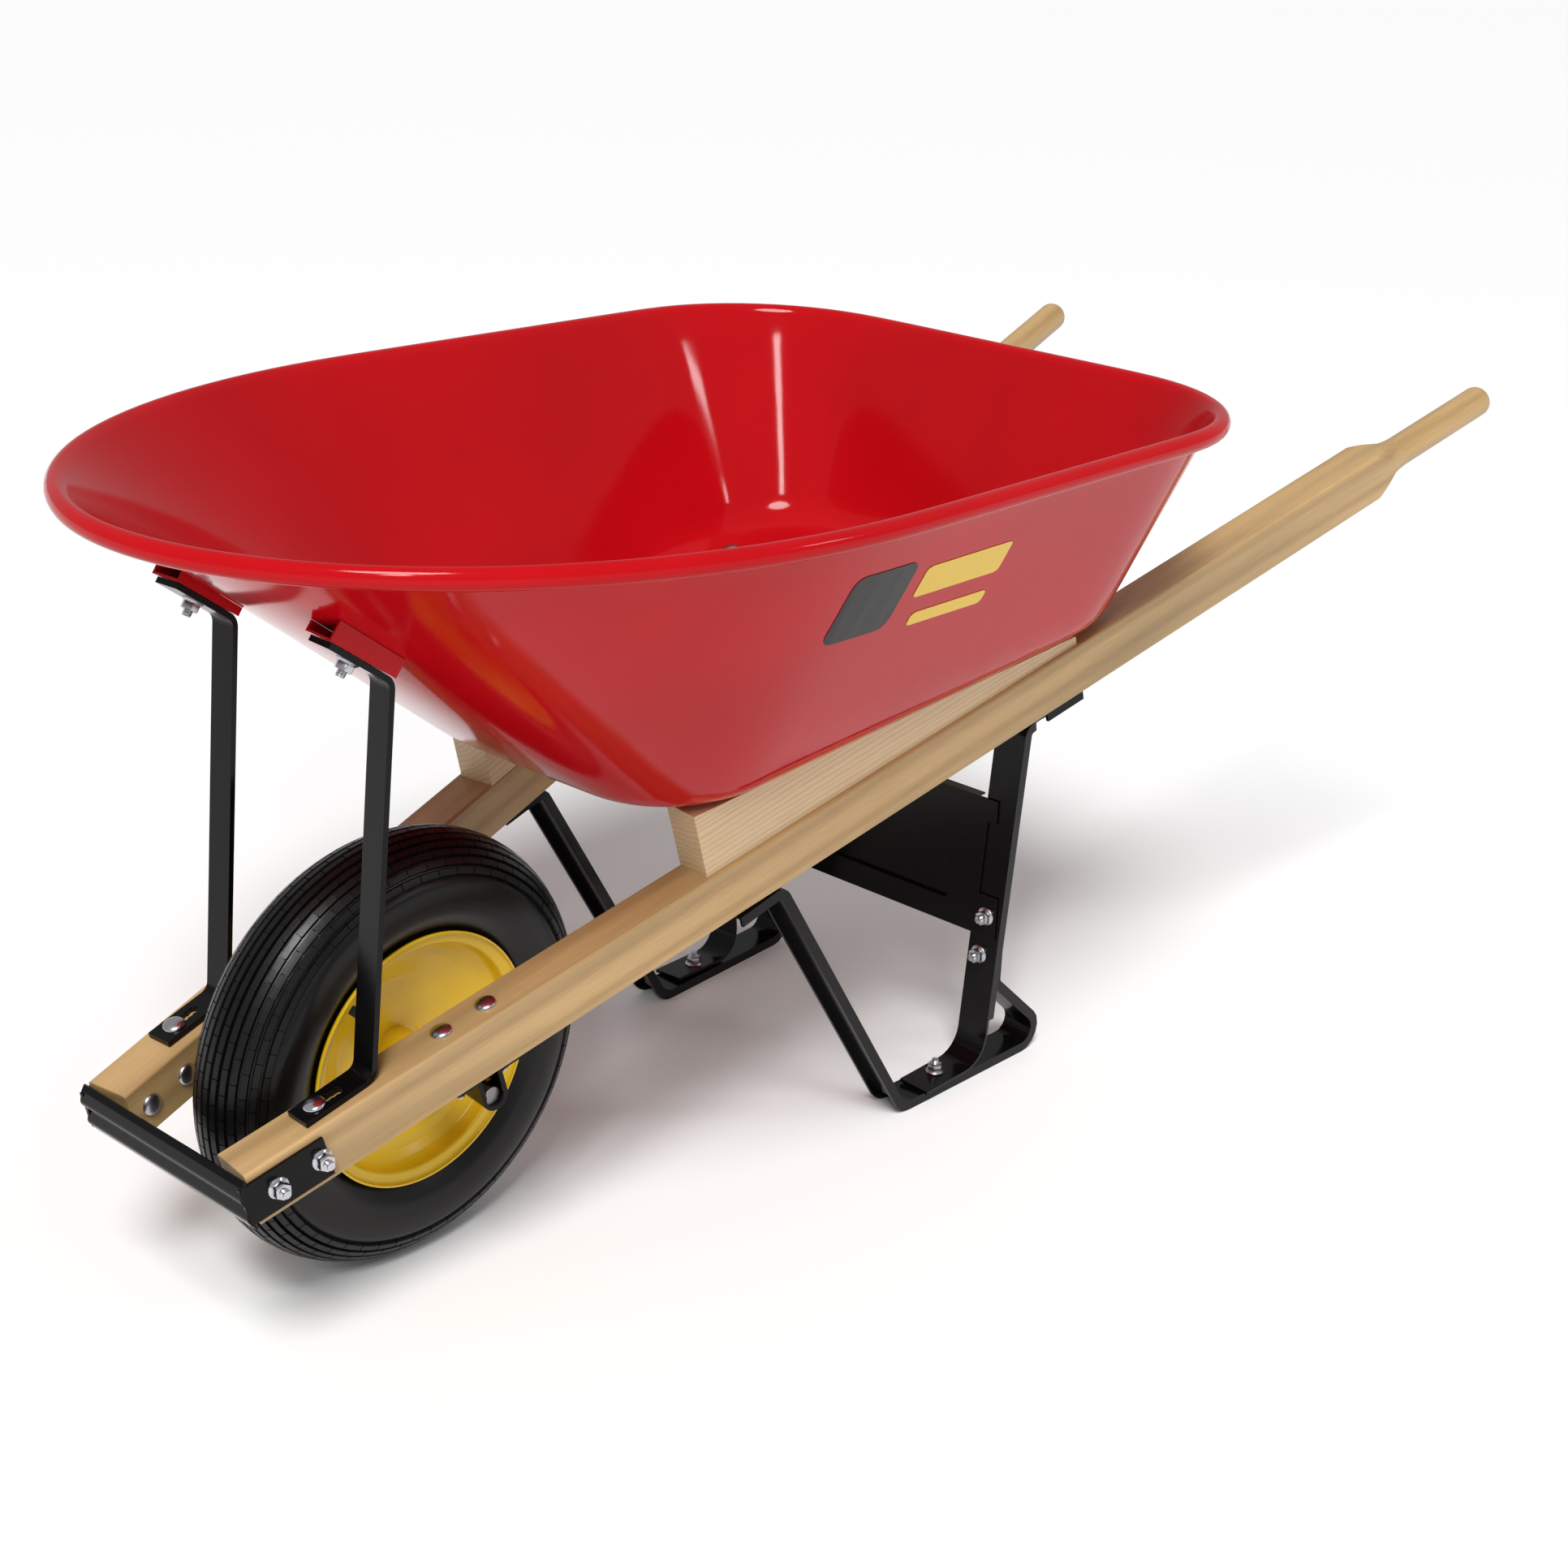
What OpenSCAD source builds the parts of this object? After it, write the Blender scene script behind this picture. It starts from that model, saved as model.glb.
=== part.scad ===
// Single-wheel contractor's wheelbarrow: a pressed steel tray on two hardwood handles,
// strap-steel legs and a pneumatic wheel that turns on a fixed axle.
// +X points from the wheel to the grips, +Z is up, and left is -Y, the operator's left.

/* [Wheel] */
// Outer diameter of the tyre
tyre_d = 384; // [360:1:400]
// Width of the inflated tyre
tyre_w = 93.6; // [84:0.2:98]
// Thickness of the tyre's casing
tyre_wall = 6; // [4:0.5:8]
// Diameter over the rim's flanges
rim_flange_d = 222; // [214:1:228]
// Diameter of the rim's bead seat
rim_seat_d = 203; // [196:1:206]
// Width over the rim's two flange lips
rim_w = 81; // [76:1:86]
// Thickness of the rim's sheet
rim_t = 2; // [1.5:0.1:2.5]
// Outer diameter of the hub tube
hub_d = 34; // [32:1:40]
// Length of the hub tube
hub_l = 100; // [90:1:110]
// Wall of the hub tube
hub_wall = 3; // [2:0.5:4]
// Length of each bearing
bearing_l = 12; // [8:1:16]
// Diameter of the axle
axle_d = 15.88; // [12:0.01:18]
// Length of the axle
axle_l = 247; // [240:1:252]
// Outer diameter of the axle's spacers
spacer_d = 22; // [20:1:26]
// Angle of the valve about the axle, from the rear and upwards
valve_angle = 134; // [0:1:359]
// Diameter of the valve's stem
valve_d = 8; // [6:0.5:9]

/* [Handles] */
// Length of each handle
handle_l = 1584; // [1540:1:1640]
// Length of each handle's rectangular part
beam_l = 1374; // [1340:1:1400]
// Width of a handle's rectangular part
beam_w = 42; // [38:0.5:46]
// Depth of a handle's rectangular part
beam_h = 50; // [46:0.5:56]
// Rise of the handles above level
handle_rise = 15.06; // [13:0.01:17]
// Angle of each handle from the centre line, seen from above
handle_splay = 7.54; // [6:0.01:8.5]
// Distance of the handles' front ends ahead of the axle
front_reach = 229.4; // [220:0.1:245]
// Half the distance over the outside of the handles at their front ends
front_half_w = 101.6; // [96:0.1:110]
// Height of the handles' front top edge above the ground
front_z = 207.2; // [200:0.1:215]
// Diameter of the grips
grip_d = 32.4; // [28:0.1:36]
// Length of the turned shoulder between beam and grip
shoulder_l = 38; // [32:1:50]
// Diameter of the neck at the end of the shoulder
neck_d = 38; // [35:1:42]
// Radius of the handles' rounded edges
edge_r = 3; // [2:0.5:5]

/* [Wedges] */
// Distance from a handle's front end to the wedge
wedge_start = 465; // [440:1:490]
// Length of each wedge
wedge_l = 460; // [430:1:490]
// Height of a wedge's front end
wedge_front_h = 62; // [54:1:70]
// Height of a wedge's rear end
wedge_rear_h = 8; // [5:0.5:14]
// Distance from the handle's outer side to the wedge
wedge_inset = 5; // [2:0.5:8]

/* [Tray] */
// Thickness of the tray's sheet
tray_t = 1.5; // [1.2:0.1:2]
// Distance of the rim's nose ahead of the axle, to the centre of its bead
tray_nose = 235; // [225:1:250]
// Distance of the rim's rear edge behind the axle, to the centre of its bead
tray_rear = 800; // [770:1:830]
// Largest half width of the rim, to the centre of its bead
tray_half_w = 339; // [320:1:350]
// Distance behind the axle where the rim is widest
tray_widest = 236; // [200:1:280]
// How much narrower each side of the rim is where its rear corners start
tray_rear_taper = 6; // [0:1:12]
// Radius of the rim's rear corners
tray_corner_r = 169; // [140:1:190]
// Height of the rim at its nose, to the centre of its bead
rim_front_z = 683; // [660:1:710]
// Height of the rim at its rear, to the centre of its bead
rim_rear_z = 666; // [640:1:700]
// Radius of the rolled bead
bead_r = 9.3; // [8:0.1:11]
// Distance of the floor's front edge behind the axle
floor_front = 172; // [150:1:190]
// Distance of the floor's rear edge behind the axle
floor_rear = 727; // [705:1:745]
// How far the floor reaches past the handles' outer sides
floor_over = 12; // [8:0.5:16]
// Radius of the floor's front corners
floor_front_r = 96; // [70:1:110]
// Radius of the floor's rear corners
floor_rear_r = 84; // [70:1:100]
// Length of the bend between floor and wall, each way
floor_bend = 36; // [28:1:40]

/* [Tray struts] */
// Width of the strut's flat bar
strut_w = 25; // [20:0.5:30]
// Thickness of the strut's flat bar
strut_t = 5; // [4:0.5:6]
// Distance from a handle's front end to the strut's foot bolt
strut_bolt_s = 78; // [72:1:86]
// Distance from the foot bolt to the strut's lower bend
strut_foot_l = 44; // [38:1:50]
// Length of the strut's slotted hole
strut_slot_l = 30; // [24:1:34]
// Height of the strut's upper bend above the ground
strut_top_z = 565; // [554:1:574]
// Distance of the strut's upper bend ahead of the axle
strut_top_x = 80; // [74:1:90]
// Length of the strut's upper flange
strut_flange_l = 66; // [58:1:72]
// Slope of the tray's nose where the struts meet it
nose_slope = 36.5; // [34:0.1:39]
// Length of each lug
lug_l = 70; // [60:1:76]
// Width of each lug's channel
lug_w = 31; // [28:1:38]
// Thickness of the lugs' sheet
lug_t = 2; // [1.5:0.1:3]

/* [Nose and axle brackets] */
// Thickness of the brackets' sheet
bracket_t = 3; // [2:0.5:4]
// Length of the nose bracket's side tabs
tab_l = 76; // [70:1:90]
// Height of the nose bracket's side tabs
tab_h = 36; // [30:1:40]
// Distance from the handles' front ends to the first tab bolt
tab_bolt_s = 21; // [16:1:26]
// Distance between the two tab bolts
tab_bolt_gap = 40; // [34:1:46]
// Half the distance between an axle bracket's bolts
axle_bolt_half_gap = 22; // [20:1:26]
// Width of each axle bracket
axle_bracket_w = 32; // [28:1:36]
// Thickness of the axle brackets' straps
axle_eye_wall = 4.2; // [3.5:0.1:5]

/* [Legs] */
// Width of the legs' straps
leg_w = 34; // [30:1:38]
// Thickness of the legs' straps
leg_t = 3; // [2:0.5:4]
// Depth of the straps' edge flanges
leg_flange = 10; // [8:0.5:12]
// Distance of the front strut's upper bend behind the axle
leg_front_x = 303; // [290:1:315]
// Distance of the foot's front bend behind the axle
foot_front_x = 483; // [470:1:495]
// Distance of the foot's rear bend behind the axle
foot_rear_x = 697; // [685:1:710]
// Distance of the rear upright behind the axle
upright_x = 597; // [585:1:610]
// Distance of the front struts' centres outside the handles' centre lines
leg_outset = 2.1; // [0:0.1:4]
// Angle of the front struts and feet from the centre line, seen from above
leg_toe = 2.6; // [1.5:0.1:3.5]
// Length of the front strut's upper flange
leg_top_flange_l = 54; // [48:1:60]
// Length of the rear upright's upper flange
upright_flange_l = 66; // [58:1:76]
// Height of the loop's upper end above the ground
loop_top_z = 146; // [140:1:152]
// Height of the loop's upper bend above the ground
loop_bend_z = 92; // [86:1:100]
// Height of the loop's bolt above the ground
loop_bolt_z = 128; // [120:1:134]
// Height of the brace's bolt above the ground
brace_bolt_z = 172; // [166:1:180]
// Height of the brace's lower edge above the ground
brace_low_z = 150; // [148:1:156]
// Height of the brace's upper edge above the ground
brace_top_z = 294; // [280:1:300]
// Thickness of the brace's sheet
brace_t = 2; // [1.5:0.1:3]
// Depth of the brace's pressed panel
brace_press = 4; // [2:0.5:6]

/* [Fasteners] */
// Diameter of the bolts
bolt_d = 8; // [6:0.5:9]
// Diameter of the bolts' domed heads
head_d = 19; // [16:0.5:22]
// Height of the bolts' domed heads
head_h = 4.4; // [3:0.1:5]
// Width of the nuts across their flats
nut_af = 13; // [11:0.5:14]
// Height of the nuts with their flanges
nut_h = 8; // [6:0.5:9]
// Diameter of the nuts' flanges
nut_flange_d = 19; // [16:0.5:20]
// Length of bolt that stands out of a nut
bolt_end = 5; // [3:0.5:8]

/* [Hidden] */
$fn = 48;

// Clearances: bolts in holes, bolts in nuts, the axle in its bearings, and faces that only touch.
hole_gap = 0.3;
nut_gap = 0.05;
running_gap = 0.06;
face_gap = 0.3;
hole_r = bolt_d / 2 + hole_gap;

// Ways to measure along, across and above a handle. s runs back from its front end.
tyre_r = tyre_d / 2;
axle_r = axle_d / 2;
rise_c = cos(handle_rise);
rise_s = sin(handle_rise);
splay_c = cos(handle_splay);
splay_s = sin(handle_splay);
beam_mid = beam_w / 2;
beam_dx = rise_c * splay_c;
function handle_s(x) = (x + front_reach) / beam_dx;
function handle_outer(x) = front_half_w + (x + front_reach) * tan(handle_splay);
function handle_mid(x) = handle_outer(x) - beam_mid / splay_c;
// Height of the handles' underside at x and at the distance y from the centre line.
function under_z(x, y) =
    front_z - beam_h / rise_c
    + tan(handle_rise) * ((x + front_reach) * splay_c + (y - front_half_w) * splay_s);

// The tray's floor lies on the wedges' tops.
wedge_top_front = [-front_reach + wedge_start * beam_dx - wedge_front_h * rise_s * splay_c,
                   front_z + wedge_start * rise_s + wedge_front_h * rise_c];
wedge_end = wedge_start + wedge_l;
wedge_top_rear = [-front_reach + wedge_end * beam_dx - wedge_rear_h * rise_s * splay_c,
                  front_z + wedge_end * rise_s + wedge_rear_h * rise_c];
floor_slope = atan2(wedge_top_rear[1] - wedge_top_front[1],
                    wedge_top_rear[0] - wedge_top_front[0]);
function floor_z(x) = wedge_top_front[1] + (x - wedge_top_front[0]) * tan(floor_slope);
// Height of a wedge above its handle at s.
function wedge_h(s) =
    wedge_front_h + (s - wedge_start) * (wedge_rear_h - wedge_front_h) / wedge_l;

// Bolts through tray, wedge, handle and leg flange.
front_tray_bolt_s = handle_s(leg_front_x - leg_top_flange_l / 2 - 4);
rear_tray_bolt_s = handle_s(upright_x + upright_flange_l / 3 + 1);

module from_axle() translate([axle_x, 0, 0]) children();
module left() from_axle() children();
module right() from_axle() mirror([0, 1, 0]) children();
module both_sides() {
    left() children();
    right() children();
}
// The left handle's frame: X along it, Y across it and inwards, Z out of its top face.
module on_handle()
    translate([-front_reach, -front_half_w, front_z])
        rotate([0, -handle_rise, -handle_splay])
            children();

// A path of [x, y, bend radius] points, with each bend drawn as an arc of short steps.
bend_steps = 6;
function unit(v) = v / norm(v);
function turn_left(v) = [-v[1], v[0]];
function flat2(p) = [p[0], p[1]];
function arc_at(a, b, c, r) =
    let (u = unit(flat2(a) - flat2(b)), v = unit(flat2(c) - flat2(b)),
         half = acos(max(-1, min(1, u * v))) / 2, reach = r / tan(half),
         mid = flat2(b) + unit(u + v) * r / sin(half), p = flat2(b) + u * reach - mid,
         sweep = -sign(cross(u, v)) * (180 - 2 * half))
    [for (k = [0 : bend_steps])
        let (t = sweep * k / bend_steps)
        mid + [p[0] * cos(t) - p[1] * sin(t), p[0] * sin(t) + p[1] * cos(t)]];
function bent_path(p) =
    [for (i = [0 : len(p) - 1])
        for (q = (i == 0 || i == len(p) - 1 || p[i][2] == 0)
                 ? [flat2(p[i])] : arc_at(p[i - 1], p[i], p[i + 1], p[i][2]))
            q];
// The point beside a path's point i, at the distance d to its left.
function beside(path, i, d) =
    let (n = len(path),
         u = unit(path[min(i + 1, n - 1)] - path[min(i, n - 2)]),
         v = unit(path[max(i, 1)] - path[max(i - 1, 0)]),
         m = turn_left(unit(u + v)))
    path[i] + m * d / (m * turn_left(u));
// A strip between the distances d1 and d2 to the left of a path.
module strip(path, d1, d2)
    polygon(concat([for (i = [0 : len(path) - 1]) beside(path, i, d1)],
                   [for (i = [len(path) - 1 : -1 : 0]) beside(path, i, d2)]));

// A flat bar of width w bent along a path in the XZ plane and centred on Y.
module bent_bar(path, d1, d2, w)
    rotate([90, 0, 0])
        linear_extrude(w, center = true)
            strip(path, d1, d2);

// A strap with a flange of depth f along both edges, to the right of its path.
module channel_strap(path, w, t, f) {
    bent_bar(path, -t, 0, w);
    for (side = [-1, 1])
        translate([0, side * (w - t) / 2, 0])
            bent_bar(path, -f, 0, t);
}

// A domed bolt: its head stands above z = 0 and its shank reaches down to -l.
module carriage_bolt(l) {
    dome_r = (pow(head_d / 2, 2) + pow(head_h, 2)) / (2 * head_h);
    rotate_extrude()
        intersection() {
            translate([0, head_h - dome_r])
                circle(dome_r, $fn = 160);
            square([head_d, head_h + 1]);
        }
    translate([0, 0, -l])
        cylinder(l, d = bolt_d);
}
// A flanged nut that hangs below z = 0 on a bolt that points down.
module flange_nut()
    difference() {
        union() {
            translate([0, 0, -2.2])
                cylinder(2.2, d = nut_flange_d);
            translate([0, 0, -nut_h])
                cylinder(nut_h, d = nut_af / cos(30), $fn = 6);
        }
        translate([0, 0, -nut_h - 1])
            cylinder(nut_h + 2, r = bolt_d / 2 + nut_gap);
    }
function bolt_l(grip) = grip + nut_h + bolt_end;
module bolt_hole(l)
    translate([0, 0, -l])
        cylinder(2 * l, r = hole_r);

// ---- tray ----
// Half of an outline from the rear centre line round to the front centre line, in five
// stretches: rear edge, rear corner, side, front corner and front edge.
edge_n = 3;
corner_n = 7;
side_n = 6;
nose_n = 12;
function floor_half_w(x) = handle_outer(x) + floor_over;
function steps(n) = [for (k = [0 : n - 1]) k / n];
function mix(a, b, t) = a + (b - a) * t;
side_turn = 90 + handle_splay;
rear_arc_c = [floor_rear - floor_rear_r,
              floor_half_w(floor_rear - floor_rear_r) - floor_rear_r / splay_c];
front_arc_c = [floor_front + floor_front_r,
               floor_half_w(floor_front + floor_front_r) - floor_front_r / splay_c];
function about(c, r, a) = c + r * [cos(a), sin(a)];
floor_half = concat(
    [for (t = steps(edge_n)) [floor_rear, t * rear_arc_c[1]]],
    [for (t = steps(corner_n)) about(rear_arc_c, floor_rear_r, t * side_turn)],
    [for (t = steps(side_n)) mix(about(rear_arc_c, floor_rear_r, side_turn),
                                 about(front_arc_c, floor_front_r, side_turn), t)],
    [for (t = steps(nose_n)) about(front_arc_c, floor_front_r, mix(side_turn, 180, t))],
    [for (t = steps(edge_n)) [floor_front, (1 - t) * front_arc_c[1]]],
    [[floor_front, 0]]);
rim_a = tray_widest + tray_nose;
tray_rear_half_w = tray_half_w - tray_rear_taper;
rim_taper = atan2(tray_half_w - tray_rear_half_w, tray_rear - tray_corner_r - tray_widest);
rim_arc_c = [tray_rear - tray_corner_r, tray_rear_half_w - tray_corner_r / cos(rim_taper)];
nose_tip = 14;
function rim_ellipse(a) = [tray_widest - rim_a * cos(a), tray_half_w * sin(a)];
rim_half = concat(
    [for (t = steps(edge_n)) [tray_rear, t * rim_arc_c[1]]],
    [for (t = steps(corner_n)) about(rim_arc_c, tray_corner_r, t * (90 - rim_taper))],
    [for (t = steps(side_n)) mix(about(rim_arc_c, tray_corner_r, 90 - rim_taper),
                                 rim_ellipse(90), t)],
    [for (t = steps(nose_n)) rim_ellipse(mix(90, nose_tip, t))],
    [for (t = steps(edge_n)) rim_ellipse(nose_tip * (1 - t))],
    [rim_ellipse(0)]);
half_n = len(floor_half) - 1;
ring_n = 2 * half_n;
function whole(h, i) = i <= half_n ? h[i] : [h[ring_n - i][0], -h[ring_n - i][1]];
function rim_z(x) =
    rim_rear_z + (rim_front_z - rim_rear_z) * (tray_rear - x) / (tray_rear + tray_nose);

// One station's section as a list of [x, y, z] points: the outer skin from floor to rim,
// round the inside of the rolled bead and back over its outside, then the inner skin down.
bend_n = 5;
bead_n = 10;
bend_lift = 0.8;
bead_turn = 300;
function tray_section(i) =
    let (f = whole(floor_half, i), r = whole(rim_half, i), h = unit(r - f),
         foot = [0, floor_z(f[0])], top = [norm(r - f), rim_z(r[0])],
         w0 = unit(top - foot), meet = top + (bead_r - tray_t) * turn_left(w0),
         w = unit(meet - foot), n = turn_left(w), mid = meet - (bead_r - tray_t) * n,
         in_foot = [-floor_bend, floor_z(f[0] - h[0] * floor_bend)],
         bend_end = foot + floor_bend * w,
         bend = [for (k = [0 : bend_n])
                    let (t = k / bend_n)
                    (1 - t) * (1 - t) * in_foot + 2 * t * (1 - t) * foot + t * t * bend_end],
         tangent = [for (k = [0 : bend_n])
                       let (t = k / bend_n)
                       unit((1 - t) * (foot - in_foot) + t * (bend_end - foot))],
         roll = [for (k = [0 : bead_n])
                    let (a = bead_turn * k / bead_n) cos(a) * n + sin(a) * w],
         skin = concat(bend, [for (k = [0 : bead_n]) mid + (bead_r - tray_t) * roll[k]],
                       [for (k = [bead_n : -1 : 0]) mid + bead_r * roll[k]],
                       [for (k = [bend_n : -1 : 0]) bend[k] + tray_t * turn_left(tangent[k])]))
    [for (p = skin) [f[0] + h[0] * p[0], f[1] + h[1] * p[0], p[1]]];
section_n = 2 * (bend_n + 1) + 2 * (bead_n + 1);
tray_points = [for (i = [0 : ring_n - 1]) for (p = tray_section(i)) p];
function at(i, j) = (i % ring_n) * section_n + j;
// Two triangles for a four-cornered patch. The diagonals mirror each other on the two sides,
// and the sheet's two skins share them, so that its thickness stays even.
function split(up, a, b, c, d) = up ? [[a, c, b], [a, d, c]] : [[a, d, b], [b, d, c]];
tray_faces = concat(
    [for (i = [0 : ring_n - 1]) for (j = [0 : section_n - 2])
        for (f = split((i < half_n) == (j < section_n / 2),
                       at(i, j), at(i + 1, j), at(i + 1, j + 1), at(i, j + 1))) f],
    [[for (i = [0 : ring_n - 1]) at(i, 0)]],
    [[for (i = [ring_n - 1 : -1 : 0]) at(i, section_n - 1)]]);

module at_tray_bolts()
    for (s = [front_tray_bolt_s, rear_tray_bolt_s])
        translate([s, beam_mid, 0])
            children();

module tray()
    color("firebrick")
        difference() {
            from_axle()
                polyhedron(tray_points, tray_faces, convexity = 8);
            both_sides()
                on_handle()
                    at_tray_bolts()
                        bolt_hole(120);
        }

// The tray's outer skin below its bead as one closed block, to fit the lugs to.
block_n = bend_n + 2;
module tray_block() {
    top = ring_n * block_n;
    polyhedron(concat([for (i = [0 : ring_n - 1]) for (j = [0 : block_n - 1])
                          tray_points[at(i, j)]],
                      [[tray_widest, 0, rim_rear_z - 2 * bead_r]]),
               concat([for (i = [0 : ring_n - 1]) for (j = [0 : block_n - 2])
                          let (p = i * block_n + j, q = (i + 1) % ring_n * block_n + j)
                          for (f = split(i < half_n, p, q, q + 1, p + 1)) f],
                      [for (i = [0 : ring_n - 1])
                          [((i + 1) % ring_n + 1) * block_n - 1, (i + 1) * block_n - 1, top]],
                      [[for (i = [0 : ring_n - 1]) i * block_n]]),
               convexity = 8);
}

// ---- tray lugs and struts ----
// The strut's plane holds its foot bolt and stands halfway between the handle and the lug.
strut_yaw = -handle_splay / 2;
strut_foot_z = front_z + tan(handle_rise) * (strut_bolt_s * beam_dx) / splay_c;
strut_bolt_x = -front_reach + strut_bolt_s * beam_dx + beam_mid * splay_s;
strut_bolt_y = front_half_w + strut_bolt_s * rise_c * splay_s - beam_mid * splay_c;
// The strut is turned against the handle, so one edge of its foot dips by foot_dip.
foot_dip = strut_w / 2 * abs(sin(strut_yaw)) * tan(handle_rise);
strut_seat = strut_t + foot_dip + face_gap;
// Heights along the strut's plane are taken over the handle's top at the foot bolt.
function on_top(x) =
    strut_foot_z + strut_seat / rise_c + (x - strut_bolt_x) * tan(handle_rise);
strut_front_x = strut_bolt_x - 18;
strut_bend_x = strut_bolt_x + strut_foot_l;
flange_dx = strut_flange_l * cos(nose_slope);
flange_dz = strut_flange_l * sin(nose_slope);
strut_bar = [[strut_front_x, on_top(strut_front_x)],
             [strut_bend_x, on_top(strut_bend_x), 9],
             [-strut_top_x, strut_top_z, 10],
             [-strut_top_x - flange_dx, strut_top_z + flange_dz]];
lug_x = -strut_top_x - cos(nose_slope) * (strut_flange_l / 2 + 2);
lug_z = strut_top_z + sin(nose_slope) * (strut_flange_l / 2 + 2);
lug_rise = 60;

module on_strut_plane()
    translate([strut_bolt_x, -strut_bolt_y, 0])
        rotate([0, 0, strut_yaw])
            translate([-strut_bolt_x, 0, 0])
                children();
// The lug bolt's frame: Z is square to the strut's upper flange, from its upper face.
module at_lug_bolt()
    on_strut_plane()
        translate([lug_x, 0, lug_z])
            rotate([0, nose_slope, 0])
                translate([0, 0, strut_t + face_gap])
                    children();
module at_strut_foot_bolt()
    on_handle()
        translate([strut_bolt_s, beam_mid, strut_seat + foot_dip])
            children();

module tray_lug()
    color("firebrick")
        difference() {
            at_lug_bolt()
                difference() {
                    translate([-lug_l / 2, -lug_w / 2, 0])
                        cube([lug_l, lug_w, lug_rise]);
                    translate([-lug_l, -lug_w / 2 + lug_t, lug_t])
                        cube([2 * lug_l, lug_w - 2 * lug_t, lug_rise]);
                    bolt_hole(20);
                }
            tray_block();
        }

module tray_strut()
    color([0.05, 0.05, 0.06])
        difference() {
            on_strut_plane()
                bent_bar(bent_path(strut_bar), -strut_t, 0, strut_w);
            at_lug_bolt()
                bolt_hole(20);
            at_strut_foot_bolt()
                for (x = [0 : 4])
                    translate([x * (strut_slot_l - 2 * hole_r) / 4, 0, 0])
                        bolt_hole(20);
        }

// ---- handles and wedges ----
module rounded_rect(w, h, r) {
    translate([r, 0])
        square([w - 2 * r, h]);
    translate([0, r])
        square([w, h - 2 * r]);
    for (x = [r, w - r])
        for (y = [r, h - r])
            translate([x, y])
                circle(r);
}

beam_corner_r = norm([beam_w, beam_h]) / 2;
grip_r = grip_d / 2;
neck_r = neck_d / 2;
neck_s = beam_l + shoulder_l;
neck_blend = 26;
grip_round = 11;
// The whole length, from the bead at the nose to the grips, sets the origin under its middle.
nose_x = min([for (p = tray_section(half_n)) p[0]]);
grip_x = -front_reach + (handle_l - grip_round) * beam_dx + grip_round
         + (grip_r - grip_round) * sqrt(1 - beam_dx * beam_dx)
         + beam_mid * splay_s + (beam_h / 2) * rise_s * splay_c;
axle_x = -(nose_x + grip_x) / 2;
// The turned outline: a cylinder wider than the beam, a cone, a hollow neck and the grip.
turned_outline = concat(
    [[0, -1], [beam_corner_r + 8, -1],
     [beam_corner_r + 8, beam_l - 8 * shoulder_l / (beam_corner_r - neck_r)]],
    [for (k = [0 : 6])
        let (t = k / 6)
        [grip_r + (neck_r - grip_r) * (1 - t) * (1 - t), neck_s + neck_blend * t]],
    [[grip_r, handle_l - grip_round], [0, handle_l - grip_round]]);

module handle()
    color("burlywood")
        on_handle()
            difference() {
                intersection() {
                    rotate([90, 0, 90])
                        translate([0, -beam_h])
                            linear_extrude(handle_l)
                                rounded_rect(beam_w, beam_h, edge_r);
                    translate([0, beam_mid, -beam_h / 2])
                        rotate([0, 90, 0])
                            rotate_extrude() {
                                polygon(turned_outline);
                                intersection() {
                                    translate([grip_r - grip_round, handle_l - grip_round])
                                        circle(grip_round);
                                    translate([0, handle_l - 2 * grip_round])
                                        square(2 * grip_round);
                                }
                                square([grip_r - grip_round, handle_l]);
                            }
                }
                at_nose_bolts()
                    translate([0, 0, -beam_mid])
                        bolt_hole(beam_w);
                at_axle_bolts()
                    bolt_hole(2 * beam_h);
                at_tray_bolts()
                    bolt_hole(2 * beam_h);
                translate([strut_bolt_s, beam_mid, 0])
                    bolt_hole(2 * beam_h);
            }

module wedge()
    color("wheat")
        difference() {
            on_handle()
                difference() {
                    translate([wedge_start, wedge_inset, 0])
                        cube([wedge_l, beam_w - wedge_inset, 2 * wedge_front_h]);
                    at_tray_bolts()
                        bolt_hole(3 * wedge_front_h);
                }
            translate([wedge_top_front[0], 0, wedge_top_front[1]])
                rotate([0, -floor_slope, 0])
                    translate([-wedge_l, -2 * front_half_w - wedge_l, 0])
                        cube([3 * wedge_l, 4 * front_half_w + 2 * wedge_l, 3 * wedge_front_h]);
        }

// ---- nose bracket ----
tab_drop = (beam_h - tab_h) / 2;
module at_nose_bolts()
    for (s = [tab_bolt_s, tab_bolt_s + tab_bolt_gap])
        translate([s, beam_w, -beam_h / 2])
            rotate([-90, 0, 0])
                children();

// The front plate's section, from its top down: two rounded swages with a groove between.
nose_plate = [[-1, -4], [-5, -8, 3], [-9, -16, 4], [-4.5, -26, 4], [-9, -36, 4], [-4, -48]];
module nose_bracket()
    color([0.05, 0.05, 0.06])
        from_axle() {
            translate([-front_reach, 0, front_z])
                rotate([0, -handle_rise, 0])
                    rotate([90, 0, 0])
                        linear_extrude(2 * front_half_w + 2 * bracket_t, center = true)
                            strip(bent_path(nose_plate), -bracket_t + 0.5, 0);
            nose_tab();
            mirror([0, 1, 0])
                nose_tab();
        }
module nose_tab()
    on_handle()
        difference() {
            translate([-9, -bracket_t - face_gap, -tab_drop - tab_h])
                cube([tab_l, bracket_t, tab_h]);
            at_nose_bolts()
                translate([0, 0, -beam_w])
                    bolt_hole(20);
        }

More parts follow.
